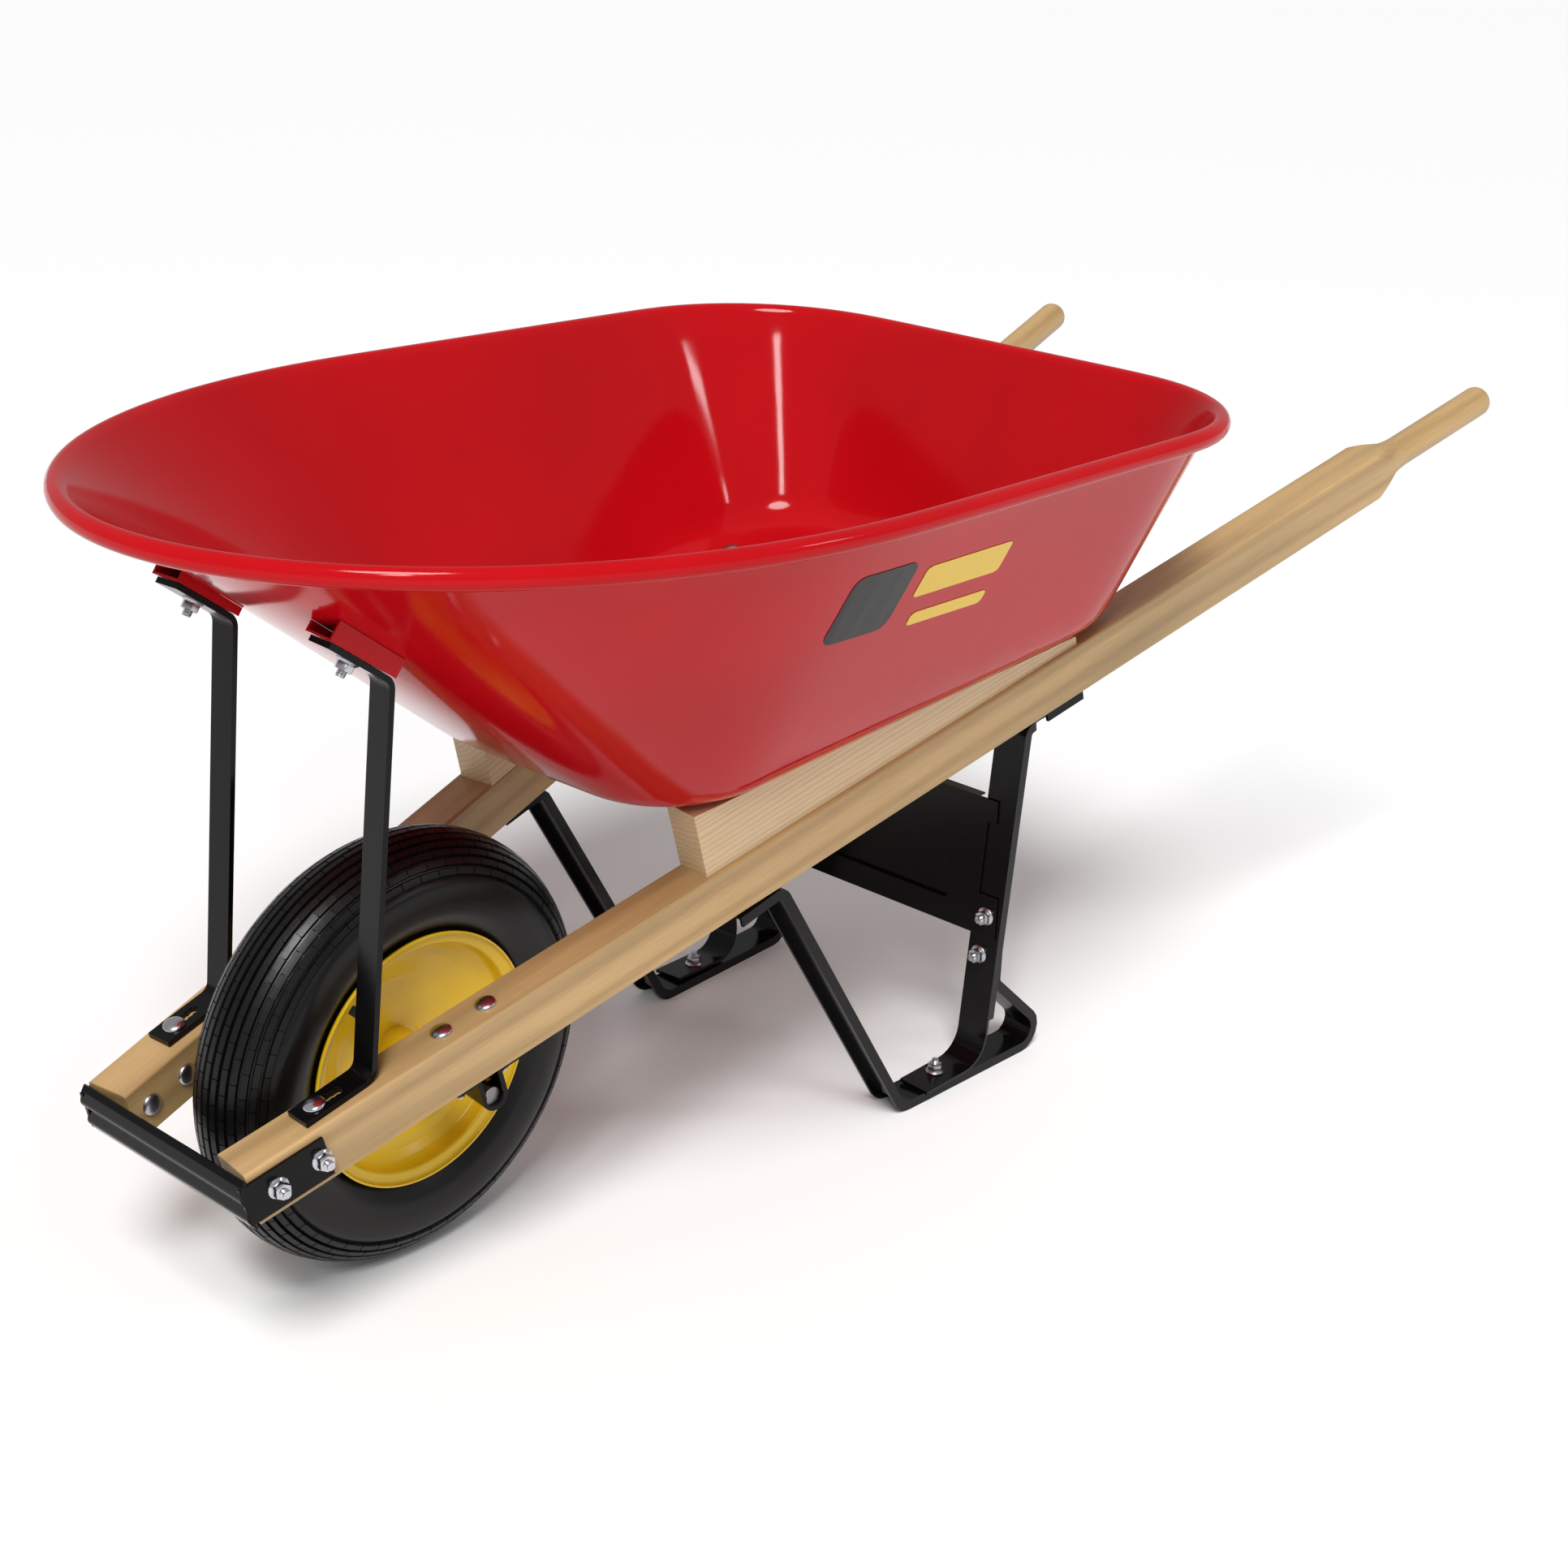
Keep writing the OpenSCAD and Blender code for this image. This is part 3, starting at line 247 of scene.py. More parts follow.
# %% [markdown]
# ## Grain in the wood
# A board is a slice through nested rings that run almost along it. Rings that are stretched
# along the stick give long lines, and where they lean through the surface they close into
# the pointed arches that flat-sawn timber shows. Fine fibres and darker streaks lie on top,
# and a small dark knot where a material asks for one.
# %% The "wood grain" group
grain, given, result = new_group(
    "wood grain",
    [("Vector", VECTOR, None), ("Light", COLOR, (1, 1, 1, 1)), ("Dark", COLOR, (0, 0, 0, 1)),
     ("Streak", COLOR, (0, 0, 0, 1)), ("Ring scale", FLOAT, 40.0), ("Contrast", FLOAT, 0.5),
     ("Streaks", FLOAT, 0.5), ("Knot", VECTOR, (9, 9, 9))],
    [("Color", COLOR), ("Roughness", FLOAT), ("Height", FLOAT)])


def stretched(group, vector, along, offset=(0.0, 0.0, 0.0)):
    node = group.nodes.new("ShaderNodeMapping")
    node.inputs["Location"].default_value = offset
    node.inputs["Scale"].default_value = (along, 1.0, 1.0)
    group.links.new(vector, node.inputs["Vector"])
    return node.outputs[0]


RING_STRETCH, FIBRE_STRETCH, STREAK_STRETCH = 0.09, 0.03, 0.07
RING_SHIFT, STREAK_SHIFT = (0.3, 0.07, 0.09), (0.0, 0.4, 0.2)
FIBRE_SCALE, STREAK_SCALE, LINE_SHARPNESS = 900.0, 34.0, 2.2
KNOT_R, KNOT_CORE, KNOT_STRENGTH = 7 * MM, 1.4 * MM, 0.8
KNOT_COLOR = (0.09, 0.05, 0.02, 1)

along_grain = given.outputs["Vector"]
rings = grain.nodes.new("ShaderNodeTexWave")
rings.wave_type = "RINGS"
rings.rings_direction = "X"
rings.inputs["Distortion"].default_value = 7.0
rings.inputs["Detail"].default_value = 2.0
rings.inputs["Detail Scale"].default_value = 0.55
grain.links.new(stretched(grain, along_grain, RING_STRETCH, RING_SHIFT),
                rings.inputs["Vector"])
grain.links.new(given.outputs["Ring scale"], rings.inputs["Scale"])
line = math_node(grain, "POWER", rings.outputs["Fac"], LINE_SHARPNESS)
fibre = noise_node(grain, stretched(grain, along_grain, FIBRE_STRETCH), FIBRE_SCALE, 3.0)
figure = math_node(grain, "MULTIPLY", line, given.outputs["Contrast"])
shade = math_node(grain, "ADD", figure, spread(grain, fibre, -0.12, 0.22))
toned = mix_colors(grain, shade, given.outputs["Light"], given.outputs["Dark"])

bands = noise_node(grain, stretched(grain, along_grain, STREAK_STRETCH, STREAK_SHIFT),
                   STREAK_SCALE, 2.0)
streak = math_node(grain, "MULTIPLY", spread(grain, bands, -0.5, 1.0),
                   given.outputs["Streaks"])
streaked = mix_colors(grain, streak, toned, given.outputs["Streak"])

apart = grain.nodes.new("ShaderNodeVectorMath")
apart.operation = "DISTANCE"
grain.links.new(along_grain, apart.inputs[0])
grain.links.new(given.outputs["Knot"], apart.inputs[1])
in_knot = map_range(grain, apart.outputs["Value"], (KNOT_CORE, KNOT_R),
                    (KNOT_STRENGTH, 0.0))
grain.links.new(mix_colors(grain, in_knot, streaked, KNOT_COLOR), result.inputs["Color"])
grain.links.new(spread(grain, fibre, 0.34, 0.5), result.inputs["Roughness"])
grain.links.new(math_node(grain, "ADD", line, fibre), result.inputs["Height"])

# %% [markdown]
# ## Materials
# Each finish is a Principled shader with one of the two groups in front. Whatever is the
# same all over the surface, such as coat and metallic, is set on the shader itself.
# %% Materials for paint, rubber and metal
def srgb(red, green, blue):
    """A colour from the 0 to 255 values that a colour picker shows."""
    shares = [value / 255 for value in (red, green, blue)]
    linear = [((share + 0.055) / 1.055) ** 2.4 if share > 0.04 else share / 12.92
              for share in shares]
    return (*linear, 1.0)


def new_material(name, group, values, bump, bump_depth, vector_from=None, **shader_values):
    material = bpy.data.materials.new(name)
    material.use_nodes = True
    tree = material.node_tree
    shader = tree.nodes["Principled BSDF"]
    made = tree.nodes.new("ShaderNodeGroup")
    made.node_tree = group
    for socket, value in values.items():
        made.inputs[socket].default_value = value
    place = tree.nodes.new("ShaderNodeTexCoord").outputs["Object"]
    if vector_from:
        place = vector_from(tree, place)
    tree.links.new(place, made.inputs["Vector"])
    height = tree.nodes.new("ShaderNodeBump")
    height.inputs["Strength"].default_value = bump
    height.inputs["Distance"].default_value = bump_depth
    tree.links.new(made.outputs["Height"], height.inputs["Height"])
    tree.links.new(made.outputs["Color"], shader.inputs["Base Color"])
    tree.links.new(made.outputs["Roughness"], shader.inputs["Roughness"])
    tree.links.new(height.outputs["Normal"], shader.inputs["Normal"])
    for socket, value in shader_values.items():
        shader.inputs[socket.replace("_", " ")].default_value = value
    return material


PEEL_DEPTH, DRIFT_SCALE = 0.2 * MM, 5.0


def painted(name, base, drift, rough, peel=420.0, bump=0.05, **shader_values):
    return new_material(name, variation,
                        {"Base": base, "Drift": drift, "Drift scale": DRIFT_SCALE,
                         "Rough low": rough[0], "Rough high": rough[1], "Peel scale": peel},
                        bump, PEEL_DEPTH, **shader_values)


red_enamel = painted("red enamel", srgb(184, 10, 20), srgb(172, 7, 16), (0.07, 0.12),
                     Specular_IOR_Level=0.16)
black_enamel = painted("black enamel", srgb(8, 7, 8), srgb(11, 9, 11), (0.12, 0.2),
                       bump=0.08, Specular_IOR_Level=0.17)
yellow_enamel = painted("yellow enamel", srgb(228, 188, 26), srgb(218, 180, 28), (0.2, 0.3),
                        Specular_IOR_Level=0.4)
tyre_rubber = painted("tyre rubber", srgb(11, 11, 11), srgb(15, 14, 14), (0.28, 0.42),
                      peel=900.0, bump=0.2, Specular_IOR_Level=0.26)
tube_rubber = painted("tube rubber", srgb(22, 22, 22), srgb(30, 30, 30), (0.6, 0.75))
cap_plastic = painted("cap plastic", srgb(178, 190, 40), srgb(160, 176, 36), (0.3, 0.4))
bare_steel = painted("bare steel", srgb(150, 150, 152), srgb(128, 126, 124), (0.25, 0.42),
                     peel=700.0, bump=0.1, Metallic=1.0)
zinc_plate = painted("zinc plate", srgb(206, 208, 214), srgb(176, 174, 178), (0.16, 0.36),
                     peel=700.0, bump=0.12, Metallic=1.0)

# %% [markdown]
# The grain must run along each stick. A Mapping node of the texture kind moves the point
# back from the front end of the stick's inner face and turns it, so that X runs along the
# stick. The seed slides the grain along, so that no two sticks are alike.
# %% Materials for the wood
HANDLE_RISE, HANDLE_SPLAY = math.radians(15.06), math.radians(7.54)
GRAIN_BUMP, GRAIN_DEPTH = 0.25, 0.25 * MM


def along_stick(node, side, seed):
    low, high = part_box(node)
    front = Vector((low.x, side * min(abs(low.y), abs(high.y)), low.z))

    def turned(tree, place):
        mapping = tree.nodes.new("ShaderNodeMapping")
        mapping.vector_type = "TEXTURE"
        mapping.inputs["Location"].default_value = front + Vector((seed, 0, 0))
        mapping.inputs["Rotation"].default_value = (0, -HANDLE_RISE, side * HANDLE_SPLAY)
        tree.links.new(place, mapping.inputs["Vector"])
        return mapping.outputs[0]
    return turned


def wooden(name, node, side, seed, light, dark, streak, ring_scale, contrast, streaks, knot):
    return new_material(name, grain,
                        {"Light": light, "Dark": dark, "Streak": streak, "Knot": knot,
                         "Ring scale": ring_scale, "Contrast": contrast, "Streaks": streaks},
                        GRAIN_BUMP, GRAIN_DEPTH, along_stick(node, side, seed),
                        Coat_Weight=0.12, Coat_Roughness=0.25)


LEFT, RIGHT = -1, 1
NO_KNOT = (9.0, 9.0, 9.0)
# The left handle's small knot lies on its inner face, this far along it and this high.
LEFT_KNOT = (0.104, 0.0, 0.012)
woods = {}
for side_name, side, seed, knot in (("left", LEFT, 0.0, LEFT_KNOT),
                                    ("right", RIGHT, 0.7, NO_KNOT)):
    handle, wedge = f"{side_name}_handle", f"{side_name}_wedge"
    woods[handle] = wooden(f"{side_name} handle wood", handle, side, seed,
                           srgb(190, 156, 106), srgb(146, 112, 68), srgb(124, 106, 70),
                           ring_scale=13.0, contrast=0.5, streaks=0.5, knot=knot)
    woods[wedge] = wooden(f"{side_name} wedge wood", wedge, side, seed + 0.2,
                          srgb(212, 184, 146), srgb(180, 144, 100), srgb(192, 162, 120),
                          ring_scale=64.0, contrast=0.42, streaks=0.25, knot=NO_KNOT)

# %% [markdown]
# ## Finishing the sheet metal, the wood and the small parts
# A drawn solid has knife edges, and real ones catch a thin line of light. The mesh of a
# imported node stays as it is, so its modifiers do the work: weld the loose triangles, merge
# the flat ones, round the sharp edges, and let the large faces set the shading.
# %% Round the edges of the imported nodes
FLAT_ANGLE, SHARP_ANGLE = math.radians(0.4), math.radians(32)
SHEET_EDGE, WEDGE_EDGE = 0.7 * MM, 1.2 * MM
CRISP_EDGE, SMALL_EDGE, CAP_EDGE = 0.5 * MM, 0.3 * MM, 0.6 * MM


def round_edges(name, material, width):
    node = nodes[name]
    node.data.materials.clear()
    node.data.materials.append(material)
    activate(node)
    bpy.ops.mesh.customdata_custom_splitnormals_clear()
    bpy.ops.object.shade_smooth()
    modify(node, "WELD", merge_threshold=WELD_GAP)
    modify(node, "DECIMATE", decimate_type="DISSOLVE", angle_limit=FLAT_ANGLE)
    modify(node, "BEVEL", width=width, segments=2, limit_method="ANGLE",
           angle_limit=SHARP_ANGLE, miter_outer="MITER_ARC")
    modify(node, "WEIGHTED_NORMAL", keep_sharp=True)


BLACK = ["nose_bracket", "leg_brace"]
for side_name in ("left", "right"):
    BLACK += [f"{side_name}_{part}" for part in
              ("tray_strut", "axle_bracket", "leg_strap", "leg_upright")]
for name in BLACK:
    round_edges(name, black_enamel, SHEET_EDGE)
for name in ("left_tray_lug", "right_tray_lug"):
    round_edges(name, red_enamel, CRISP_EDGE)
for name, material in woods.items():
    round_edges(name, material, WEDGE_EDGE if "wedge" in name else CRISP_EDGE)
for name in ("left_rim_half", "right_rim_half", "hub", "grease_fitting"):
    round_edges(name, yellow_enamel, SMALL_EDGE)
for name in ("axle", "left_axle_spacer", "right_axle_spacer", "left_bearing",
             "right_bearing"):
    round_edges(name, bare_steel, CRISP_EDGE)
round_edges("inner_tube", tube_rubber, SMALL_EDGE)
round_edges("valve_stem", tube_rubber, SMALL_EDGE)
round_edges("valve_cap", cap_plastic, CAP_EDGE)

# %% [markdown]
# ## The tray
# The real tray is one pressed sheet with a rolled bead, so its surface is smooth in every
# direction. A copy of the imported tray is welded, its triangles are joined to four-sided
# faces, and one level of subdivision turns its stations into a continuous curve.
# %% Smooth the tray
def welded_copy(node, name):
    activate(nodes[node])
    bpy.ops.object.duplicate()
    piece = named(name)
    piece.modifiers.clear()
    for key in list(piece.keys()):
        del piece[key]
    piece.parent = None
    bpy.ops.mesh.customdata_custom_splitnormals_clear()
    edit(piece)
    bpy.ops.mesh.remove_doubles(threshold=2 * WELD_GAP)
    done()
    return piece


tray = welded_copy("tray", "pressed_tray")
edit(tray)
bpy.ops.mesh.tris_convert_to_quads(face_threshold=math.radians(60),
                                   shape_threshold=math.radians(180))
done()
modify(tray, "SUBSURF", levels=1, render_levels=1)
apply_modifiers(tray)
smooth_below(tray, 50)
add_piece(tray, "frame", "red_enamel", red_enamel, "tray")
print("tray faces", len(tray.data.polygons))

# %% [markdown]
# ## A plain label
# The near side carries a small dark plate and two yellow bars, with no lettering. Each is a
# grid whose corners are drawn in to an arc. The grid stands on the slope of the tray's wall
# and is pulled onto it, and then it is given a thin body.
# %% Lay the label on the tray
WALL_SLOPE = math.radians(62)
SKIN = 0.3 * MM
LIFT = 1.6 * SKIN
PLATE_CORNER, BAR_CORNER = 12 * MM, 5 * MM


def rounded_grid(name, width, height, corner, place):
    bpy.ops.mesh.primitive_grid_add(x_subdivisions=20, y_subdivisions=12, size=1)
    piece = named(name)
    reach_x, reach_y = width / 2 - corner, height / 2 - corner
    for vertex in piece.data.vertices:
        x, y = vertex.co.x * width, vertex.co.y * height
        inner = Vector((max(-reach_x, min(reach_x, x)), max(-reach_y, min(reach_y, y)), 0))
        off = Vector((x, y, 0)) - inner
        if off.length > 0:
            off *= max(abs(off.x), abs(off.y)) / off.length
        vertex.co = inner + off
    piece.rotation_euler = (math.pi - WALL_SLOPE, 0, 0)
    piece.location = place
    settle(piece)
    modify(piece, "SHRINKWRAP", target=tray, offset=LIFT)
    modify(piece, "SOLIDIFY", thickness=SKIN, offset=-1)
    apply_modifiers(piece)
    return piece


plate = rounded_grid("plain_label", 78 * MM, 74 * MM, PLATE_CORNER, (-0.272, -0.296, 0.590))
add_piece(plate, "frame", "black_enamel", black_enamel)
for number, width, height, place in ((1, 112 * MM, 34 * MM, (-0.160, -0.294, 0.600)),
                                     (2, 98 * MM, 15 * MM, (-0.153, -0.274, 0.560))):
    bar = rounded_grid(f"label_bar_{number}", width, height, BAR_CORNER, place)
    add_piece(bar, "frame", "yellow_enamel", yellow_enamel)

# %% [markdown]
# ## The tyre
# The tread is a row of ribs round the crown with grooves between them. The tyre's section is
# one closed outline, which runs up one wall, across the ribs, down the other wall and back
# along the lining, and it is spun about the axle.
# %% Spin the ribbed tyre
casing_r = (tyre_high.y - tyre_low.y) / 2
casing_mid = tyre_r - casing_r
BEAD_R, BEAD_OUT, BEAD_IN, TYRE_WALL = 103.8 * MM, 33.7 * MM, 26.7 * MM, 6 * MM
RIBS, RIB_DEPTH, RIB_HALF_ANGLE, GROOVE_SHARE = 13, 3.2 * MM, math.radians(68), 0.4
RIB_PITCH = 2 * RIB_HALF_ANGLE / RIBS
WALL_STEPS, LINING_STEPS = 13, 16
WALL_SINK, LINE_SINK, LINE_STEPS = 0.6 * MM, 0.06 * MM, (4, 5)
NICKS, STEPS_PER_NICK = 54, 4
tyre_steps = NICKS * STEPS_PER_NICK


def on_casing(angle, sink=0.0):
    """A point of the casing's outside at an angle from the crown, sunk by some depth."""
    reach = casing_r - sink
    return (casing_mid + reach * math.cos(angle), reach * math.sin(angle))


def wall_points():
    """One sidewall from its bead to the ribs, with a fine raised line round it."""
    wall_end = math.pi - math.asin(BEAD_OUT / casing_r)
    return [on_casing(-wall_end + (wall_end - RIB_HALF_ANGLE) * k / WALL_STEPS,
                      LINE_SINK if k in LINE_STEPS else WALL_SINK)
            for k in range(WALL_STEPS)]


def rib_points(low):
    """One rib, with half a groove on each side of it."""
    gap = RIB_PITCH * GROOVE_SHARE / 2
    high = low + RIB_PITCH
    return [on_casing(low + gap / 2, RIB_DEPTH), on_casing(low + gap),
            on_casing(low + RIB_PITCH / 2),
            on_casing(high - gap), on_casing(high - gap / 2, RIB_DEPTH)]


def lining_points():
    lining = casing_r - TYRE_WALL
    lining_end = math.pi - math.asin(BEAD_IN / lining)
    return [(casing_mid + lining * math.cos(angle), lining * math.sin(angle))
            for angle in (lining_end - 2 * lining_end * k / LINING_STEPS
                          for k in range(LINING_STEPS + 1))]


near_wall = wall_points()
tread = [point for rib in range(RIBS)
         for point in rib_points(rib * RIB_PITCH - RIB_HALF_ANGLE)]
far_wall = [(r, -y) for r, y in reversed(near_wall)]
section = [*near_wall, *tread, *far_wall, (BEAD_R, BEAD_OUT), (BEAD_R, BEAD_IN),
           *lining_points(), (BEAD_R, -BEAD_IN), (BEAD_R, -BEAD_OUT)]
tyre = spun_piece("ribbed_tyre", [(axle.x, y, axle.z + r) for r, y in section],
                  tyre_steps, center=axle, axis=(0, 1, 0))
print("tyre corners", len(tyre.data.vertices), "from", len(section), "points a step")

# %% [markdown]
# Short nicks cross the ribs. The steps of the spin are gathered in pairs, which leaves a
# thin step wherever a nick is, and the faces of that step are pushed in. Neighbouring ribs
# take turns, so that the nicks are staggered.
# %% Gather the steps and press in the nicks
NICK_WIDTH, NICK_DEPTH, GROOVE_FLANK = 0.1, 1.2 * MM, 0.6 * RIB_DEPTH
step_angle = math.tau / tyre_steps
start_angle = math.pi / 2


def steps_round(point):
    """How many steps of the spin lie between the start and a point."""
    angle = math.atan2(point.z - axle.z, point.x - axle.x)
    return (angle - start_angle) % math.tau / step_angle


gather = Matrix.Rotation((1 - 2 * NICK_WIDTH) * step_angle, 3, "Y")
for vertex in tyre.data.vertices:
    if round(steps_round(vertex.co)) % 2:
        vertex.co = axle + gather @ (vertex.co - axle)


def is_nick(face):
    centre = face.center
    out = math.hypot(centre.x - axle.x, centre.z - axle.z) - casing_mid
    across = math.atan2(centre.y, out)
    in_groove = math.hypot(out, centre.y) < casing_r - GROOVE_FLANK
    if in_groove or abs(across) > RIB_HALF_ANGLE:
        return False
    rib = int((across + RIB_HALF_ANGLE) / RIB_PITCH)
    turn = steps_round(centre)
    narrow = turn % 2 < 0.5
    return narrow and int(turn / 2) % 2 == rib % 2


pick_faces(tyre, is_nick)
bpy.ops.mesh.extrude_region_shrink_fatten(
    TRANSFORM_OT_shrink_fatten={"value": -NICK_DEPTH})
done()
smooth_below(tyre, 35)
add_piece(tyre, "wheel", "tyre_rubber", tyre_rubber, "tyre")

# %% [markdown]
# ## Bolts and nuts
# Each packed fastener node holds several like solids. We read each solid's place and axis
# from its corners: a bolt is longest along its axis, and a nut is shortest along it. The
# side with the wide corners tells us which end the head or the flange is.
# %% Find where each fastener is
def welded_solids(node):
    """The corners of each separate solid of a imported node."""
    source = welded_copy(node, "measured")
    edit(source)
    bpy.ops.mesh.separate(type="LOOSE")
    done()
    found = []
    for part in list(bpy.context.selected_objects):
        found.append(np.array([v.co for v in part.data.vertices]))
        bpy.data.objects.remove(part)
    return found


def seat_of(points, wide, longest):
    """Where a round solid sits: its axis towards its wide end, and its reach both ways."""
    centre = points.mean(0)
    _, axes = np.linalg.eigh(np.cov((points - centre).T))
    axis = axes[:, 2 if longest else 0]
    along = (points - centre) @ axis
    radius = np.linalg.norm(points - centre - np.outer(along, axis), axis=1)
    if along[radius > wide].mean() < along.mean():
        axis, along = -axis, -along
    return Vector(centre), Vector(axis), along.max(), along.min()


def set_on(piece, seat, axis):
    """Stands the piece on its seat with its Z along the axis."""
    turned = axis.to_track_quat("Z", "Y").to_matrix().to_4x4()
    piece.matrix_world = Matrix.Translation(seat) @ turned
    settle(piece)


def joined(pieces, name):
    activate(pieces[0])
    for piece in pieces:
        piece.select_set(True)
    bpy.ops.object.join()
    return named(name)


# %% [markdown]
# The bolt is spun from its side view, with a domed head and a thread near its end. The nut
# is a six-sided prism with chamfered corners on a flange, and every other corner of the
# flange's rim is drawn in, which gives its serrations.
# %% Model one bolt and one nut
BOLT_R, HEAD_R, HEAD_H, HEAD_EDGE = 4 * MM, 9.5 * MM, 4.4 * MM, 0.16
THREAD_PITCH, THREAD_DEPTH, THREAD_L = 1.25 * MM, 0.6 * MM, 13 * MM
TIP_H, TIP_R, BOLT_STEPS, DOME_STEPS = 0.2 * MM, BOLT_R - 1.2 * MM, 24, 7
NUT_AF, NUT_H, NUT_FLANGE_R, NUT_FLANGE_H = 13 * MM, 8 * MM, 9.5 * MM, 2.2 * MM
NUT_CHAMFER, FLANGE_CHAMFER, FLANGE_NECK_R = 0.9 * MM, 0.25 * MM, NUT_AF / 2 + 0.4 * MM
RIM_CORNERS, SERRATION = 40, 0.955
WIDE_OF_HEAD, WIDE_OF_FLANGE = 0.85 * HEAD_R, 0.92 * NUT_FLANGE_R


def domed_bolt(length):
    """Its head stands above z = 0 and its thread ends at -length."""
    dome = [(HEAD_R * math.sin(t), HEAD_H * (HEAD_EDGE + (1 - HEAD_EDGE) * math.cos(t)))
            for t in (math.pi / 2 * k / DOME_STEPS for k in range(DOME_STEPS + 1))]
    thread = []
    for k in range(int(THREAD_L / THREAD_PITCH)):
        top = -length + THREAD_L - k * THREAD_PITCH
        thread += [(BOLT_R, top), (BOLT_R - THREAD_DEPTH, top - THREAD_PITCH / 2)]
    tip = [(BOLT_R - THREAD_DEPTH, -length + TIP_H), (TIP_R, -length), (0, -length)]
    side = [*dome, (HEAD_R, 0), (BOLT_R, 0), *thread, *tip]
    return spun_piece("bolt", [(r, 0, z) for r, z in side], BOLT_STEPS,
                      center=(0, 0, 0), axis=(0, 0, 1))


def chamfered(piece, width, segments):
    settle(piece)
    modify(piece, "BEVEL", width=width, segments=segments, limit_method="ANGLE")
    apply_modifiers(piece)
    return piece


def flanged_nut():
    """It hangs below z = 0, with its serrated flange on top."""
    hex_h = NUT_H - NUT_FLANGE_H / 2
    bpy.ops.mesh.primitive_cylinder_add(vertices=6, radius=NUT_AF / 2 / math.cos(math.pi / 6),
                                        depth=hex_h, location=(0, 0, hex_h / 2 - NUT_H))
    hexagon = chamfered(named("hexagon"), NUT_CHAMFER, 2)
    bpy.ops.mesh.primitive_cone_add(vertices=RIM_CORNERS, radius1=FLANGE_NECK_R,
                                    radius2=NUT_FLANGE_R, depth=NUT_FLANGE_H,
                                    location=(0, 0, -NUT_FLANGE_H / 2))
    flange = named("flange")
    for vertex in flange.data.vertices:
        tooth = round(math.atan2(vertex.co.y, vertex.co.x) / math.tau * RIM_CORNERS)
        if vertex.co.z > 0 and tooth % 2:
            vertex.co.xy *= SERRATION
    return joined([hexagon, chamfered(flange, FLANGE_CHAMFER, 1)], "nut")


# %% [markdown]
# Each place has a node of bolts and a node of nuts. Their detailed pieces replace them.
# %% Set a bolt or a nut at each place
def placed_bolt(points):
    centre, axis, high, low = seat_of(points, WIDE_OF_HEAD, longest=True)
    bolt = domed_bolt(high - low - HEAD_H)
    set_on(bolt, centre + axis * (high - HEAD_H), axis)
    return bolt


def placed_nut(points):
    centre, axis, high, _ = seat_of(points, WIDE_OF_FLANGE, longest=False)
    nut = flanged_nut()
    set_on(nut, centre + axis * high, axis)
    return nut


def lay_fasteners(node, placed):
    parts = [placed(points) for points in welded_solids(node)]
    piece = joined(parts, f"detailed_{node}")
    smooth_below(piece, 38)
    add_piece(piece, "frame", "zinc_plate", zinc_plate, node)
    print(node, len(parts), "solids")


for place in ("nose", "axle_bracket", "strut", "tray", "leg"):
    lay_fasteners(f"{place}_bolts", placed_bolt)
    lay_fasteners(f"{place}_nuts", placed_nut)

# %% [markdown]
# ## Floor, light and camera
# The floor is plain and pale and reaches past the view. A broad soft sun from above the
# front of the near side models the form, two small panels give the paint its highlights,
# and a pale sky fills the shadows.
# %% Stage
floor_material = bpy.data.materials.new("pale floor")
floor_material.use_nodes = True
floor_shader = floor_material.node_tree.nodes["Principled BSDF"]
floor_shader.inputs["Base Color"].default_value = (0.92, 0.92, 0.92, 1)
floor_shader.inputs["Roughness"].default_value = 0.9
bpy.ops.mesh.primitive_plane_add(size=120, location=(0, 0, 0))
floor = bpy.context.active_object
floor.name = "floor"
floor.data.materials.append(floor_material)

world = bpy.data.worlds.new("pale sky")
bpy.context.scene.world = world
world.use_nodes = True
sky = world.node_tree.nodes["Background"]
sky.inputs["Color"].default_value = (1.0, 1.0, 1.0, 1)
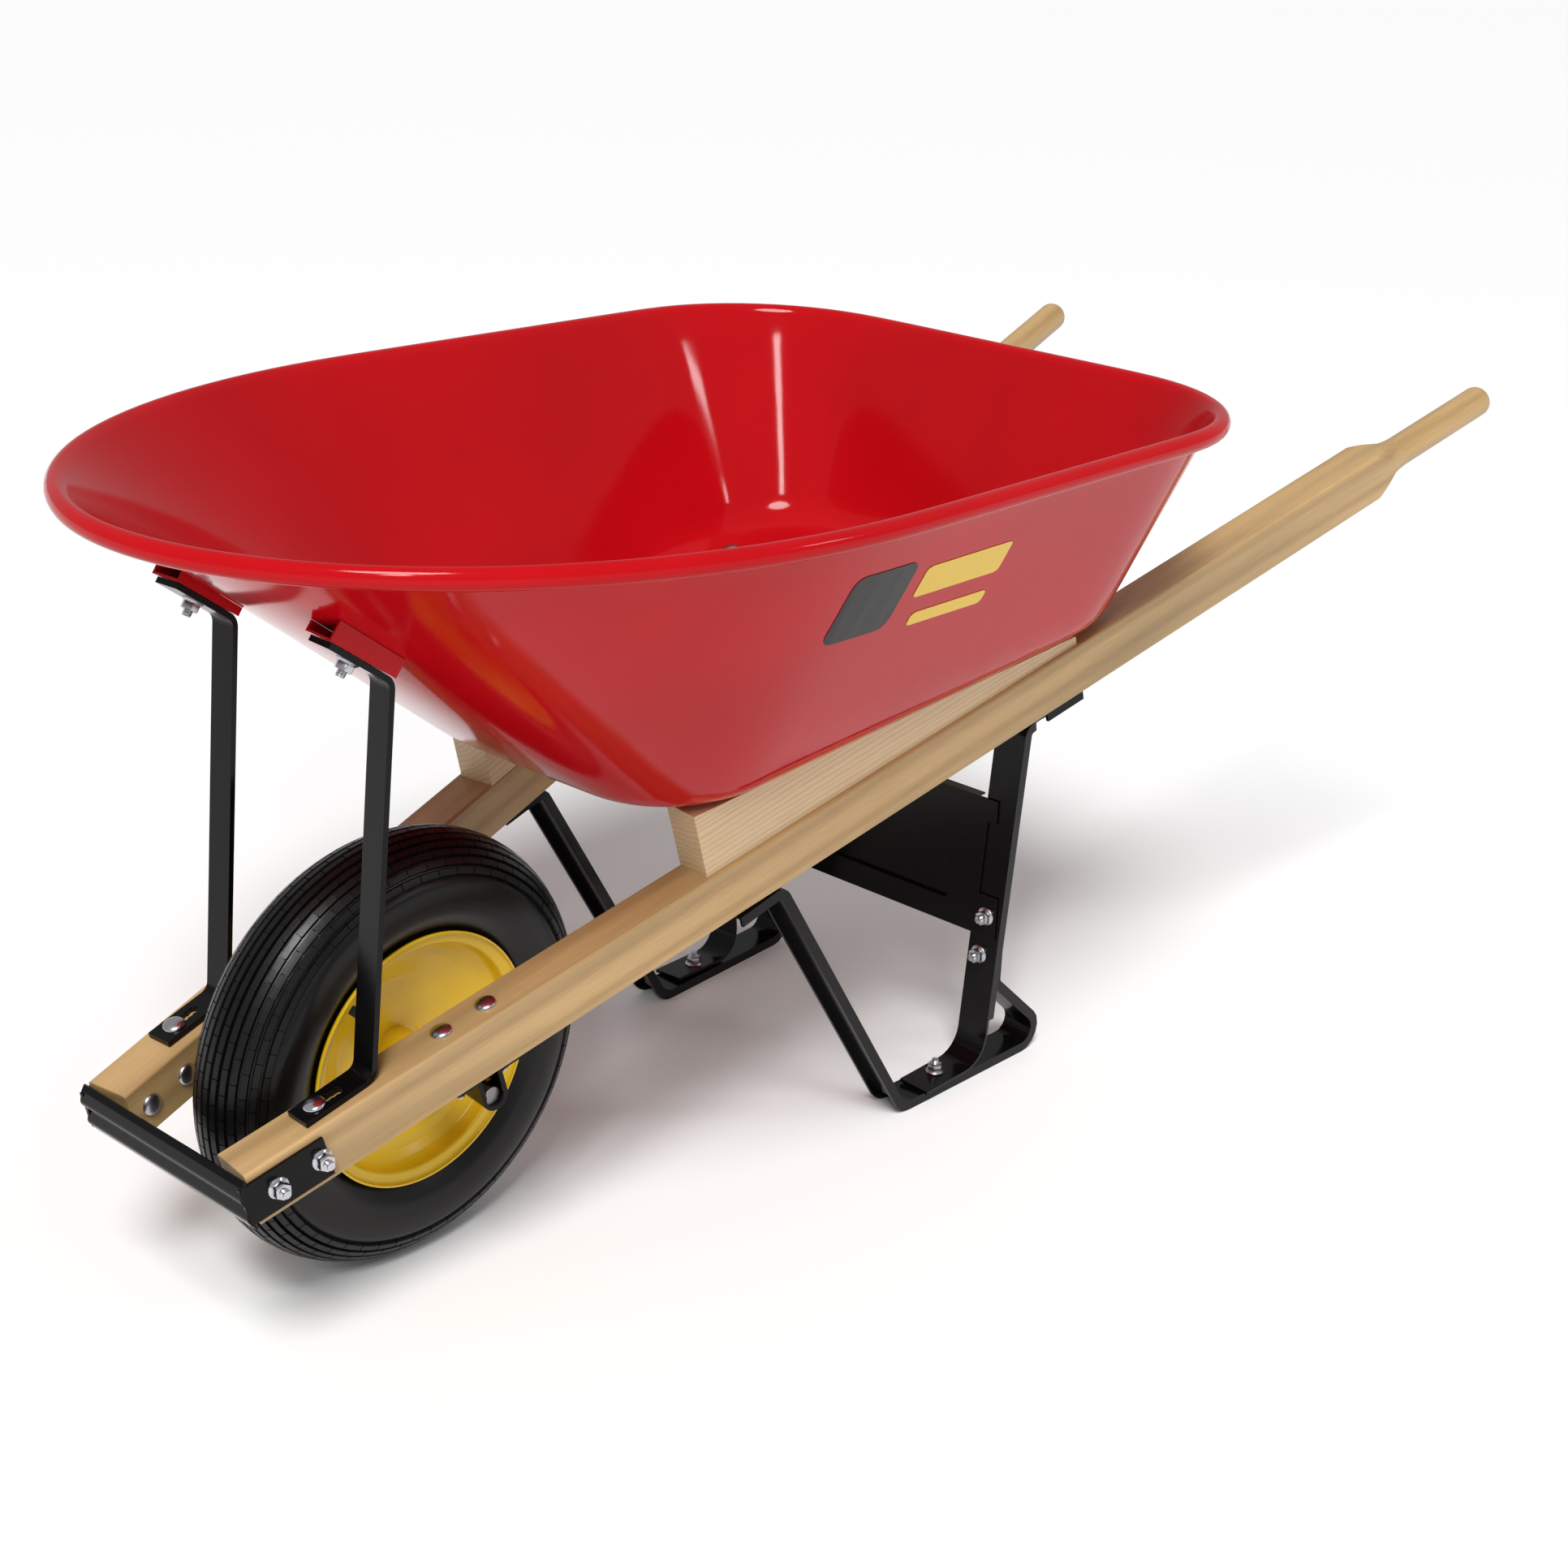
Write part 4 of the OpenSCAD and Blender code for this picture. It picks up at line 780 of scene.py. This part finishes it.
# The sky lights the object softly but shows pure white behind it.
SKY_LIGHT, SKY_SHOWN = 0.4, 1.0
rays = world.node_tree.nodes.new("ShaderNodeLightPath")
feed(world.node_tree, sky.inputs["Strength"],
     map_range(world.node_tree, rays.outputs["Is Camera Ray"], (0, 1), (SKY_LIGHT, SKY_SHOWN)))

middle = (cad_box[0] + cad_box[1]) / 2


def hang_light(name, kind, place, energy, **settings):
    """Hangs a light that points at the middle of the barrow."""
    light = bpy.data.lights.new(name, kind)
    light.energy = energy
    for setting, value in settings.items():
        setattr(light, setting, value)
    lamp = bpy.data.objects.new(name, light)
    bpy.context.scene.collection.objects.link(lamp)
    lamp.location = place
    lamp.rotation_euler = (middle - Vector(place)).to_track_quat("-Z", "Y").to_euler()


hang_light("sun", "SUN", (-2.0, -1.5, 4.0), 2.6, angle=math.radians(20))
hang_light("window", "AREA", (-2.6, -1.8, 2.6), 20, shape="RECTANGLE", size=0.3, size_y=0.6)
hang_light("side window", "AREA", (1.6, -3.0, 2.4), 9,
           shape="RECTANGLE", size=0.6, size_y=0.15)

# %% [markdown]
# The camera stands above the front left, tipped down and rolled by about two degrees.
# %% Camera
LENS, FAR_LIMIT = 55.88, 200
YAW, PITCH, ROLL = math.radians(40.71), math.radians(-22.59), math.radians(2.195)
camera_place = axle + Vector((-1.1604, -1.4218, 1.0026))
forward = Vector((math.cos(YAW) * math.cos(PITCH), math.sin(YAW) * math.cos(PITCH),
                  math.sin(PITCH)))
level = forward.cross(Vector((0, 0, 1))).normalized()
upright = level.cross(forward)
across = math.cos(ROLL) * level + math.sin(ROLL) * upright
upward = -math.sin(ROLL) * level + math.cos(ROLL) * upright
camera = bpy.data.objects.new("camera", bpy.data.cameras.new("camera"))
bpy.context.scene.collection.objects.link(camera)
camera.data.lens = LENS
camera.data.clip_end = FAR_LIMIT
turn = Matrix((across, upward, -forward)).transposed()
camera.matrix_world = Matrix.Translation(camera_place) @ turn.to_4x4()
bpy.context.scene.camera = camera
bpy.context.scene.view_settings.view_transform = "Standard"
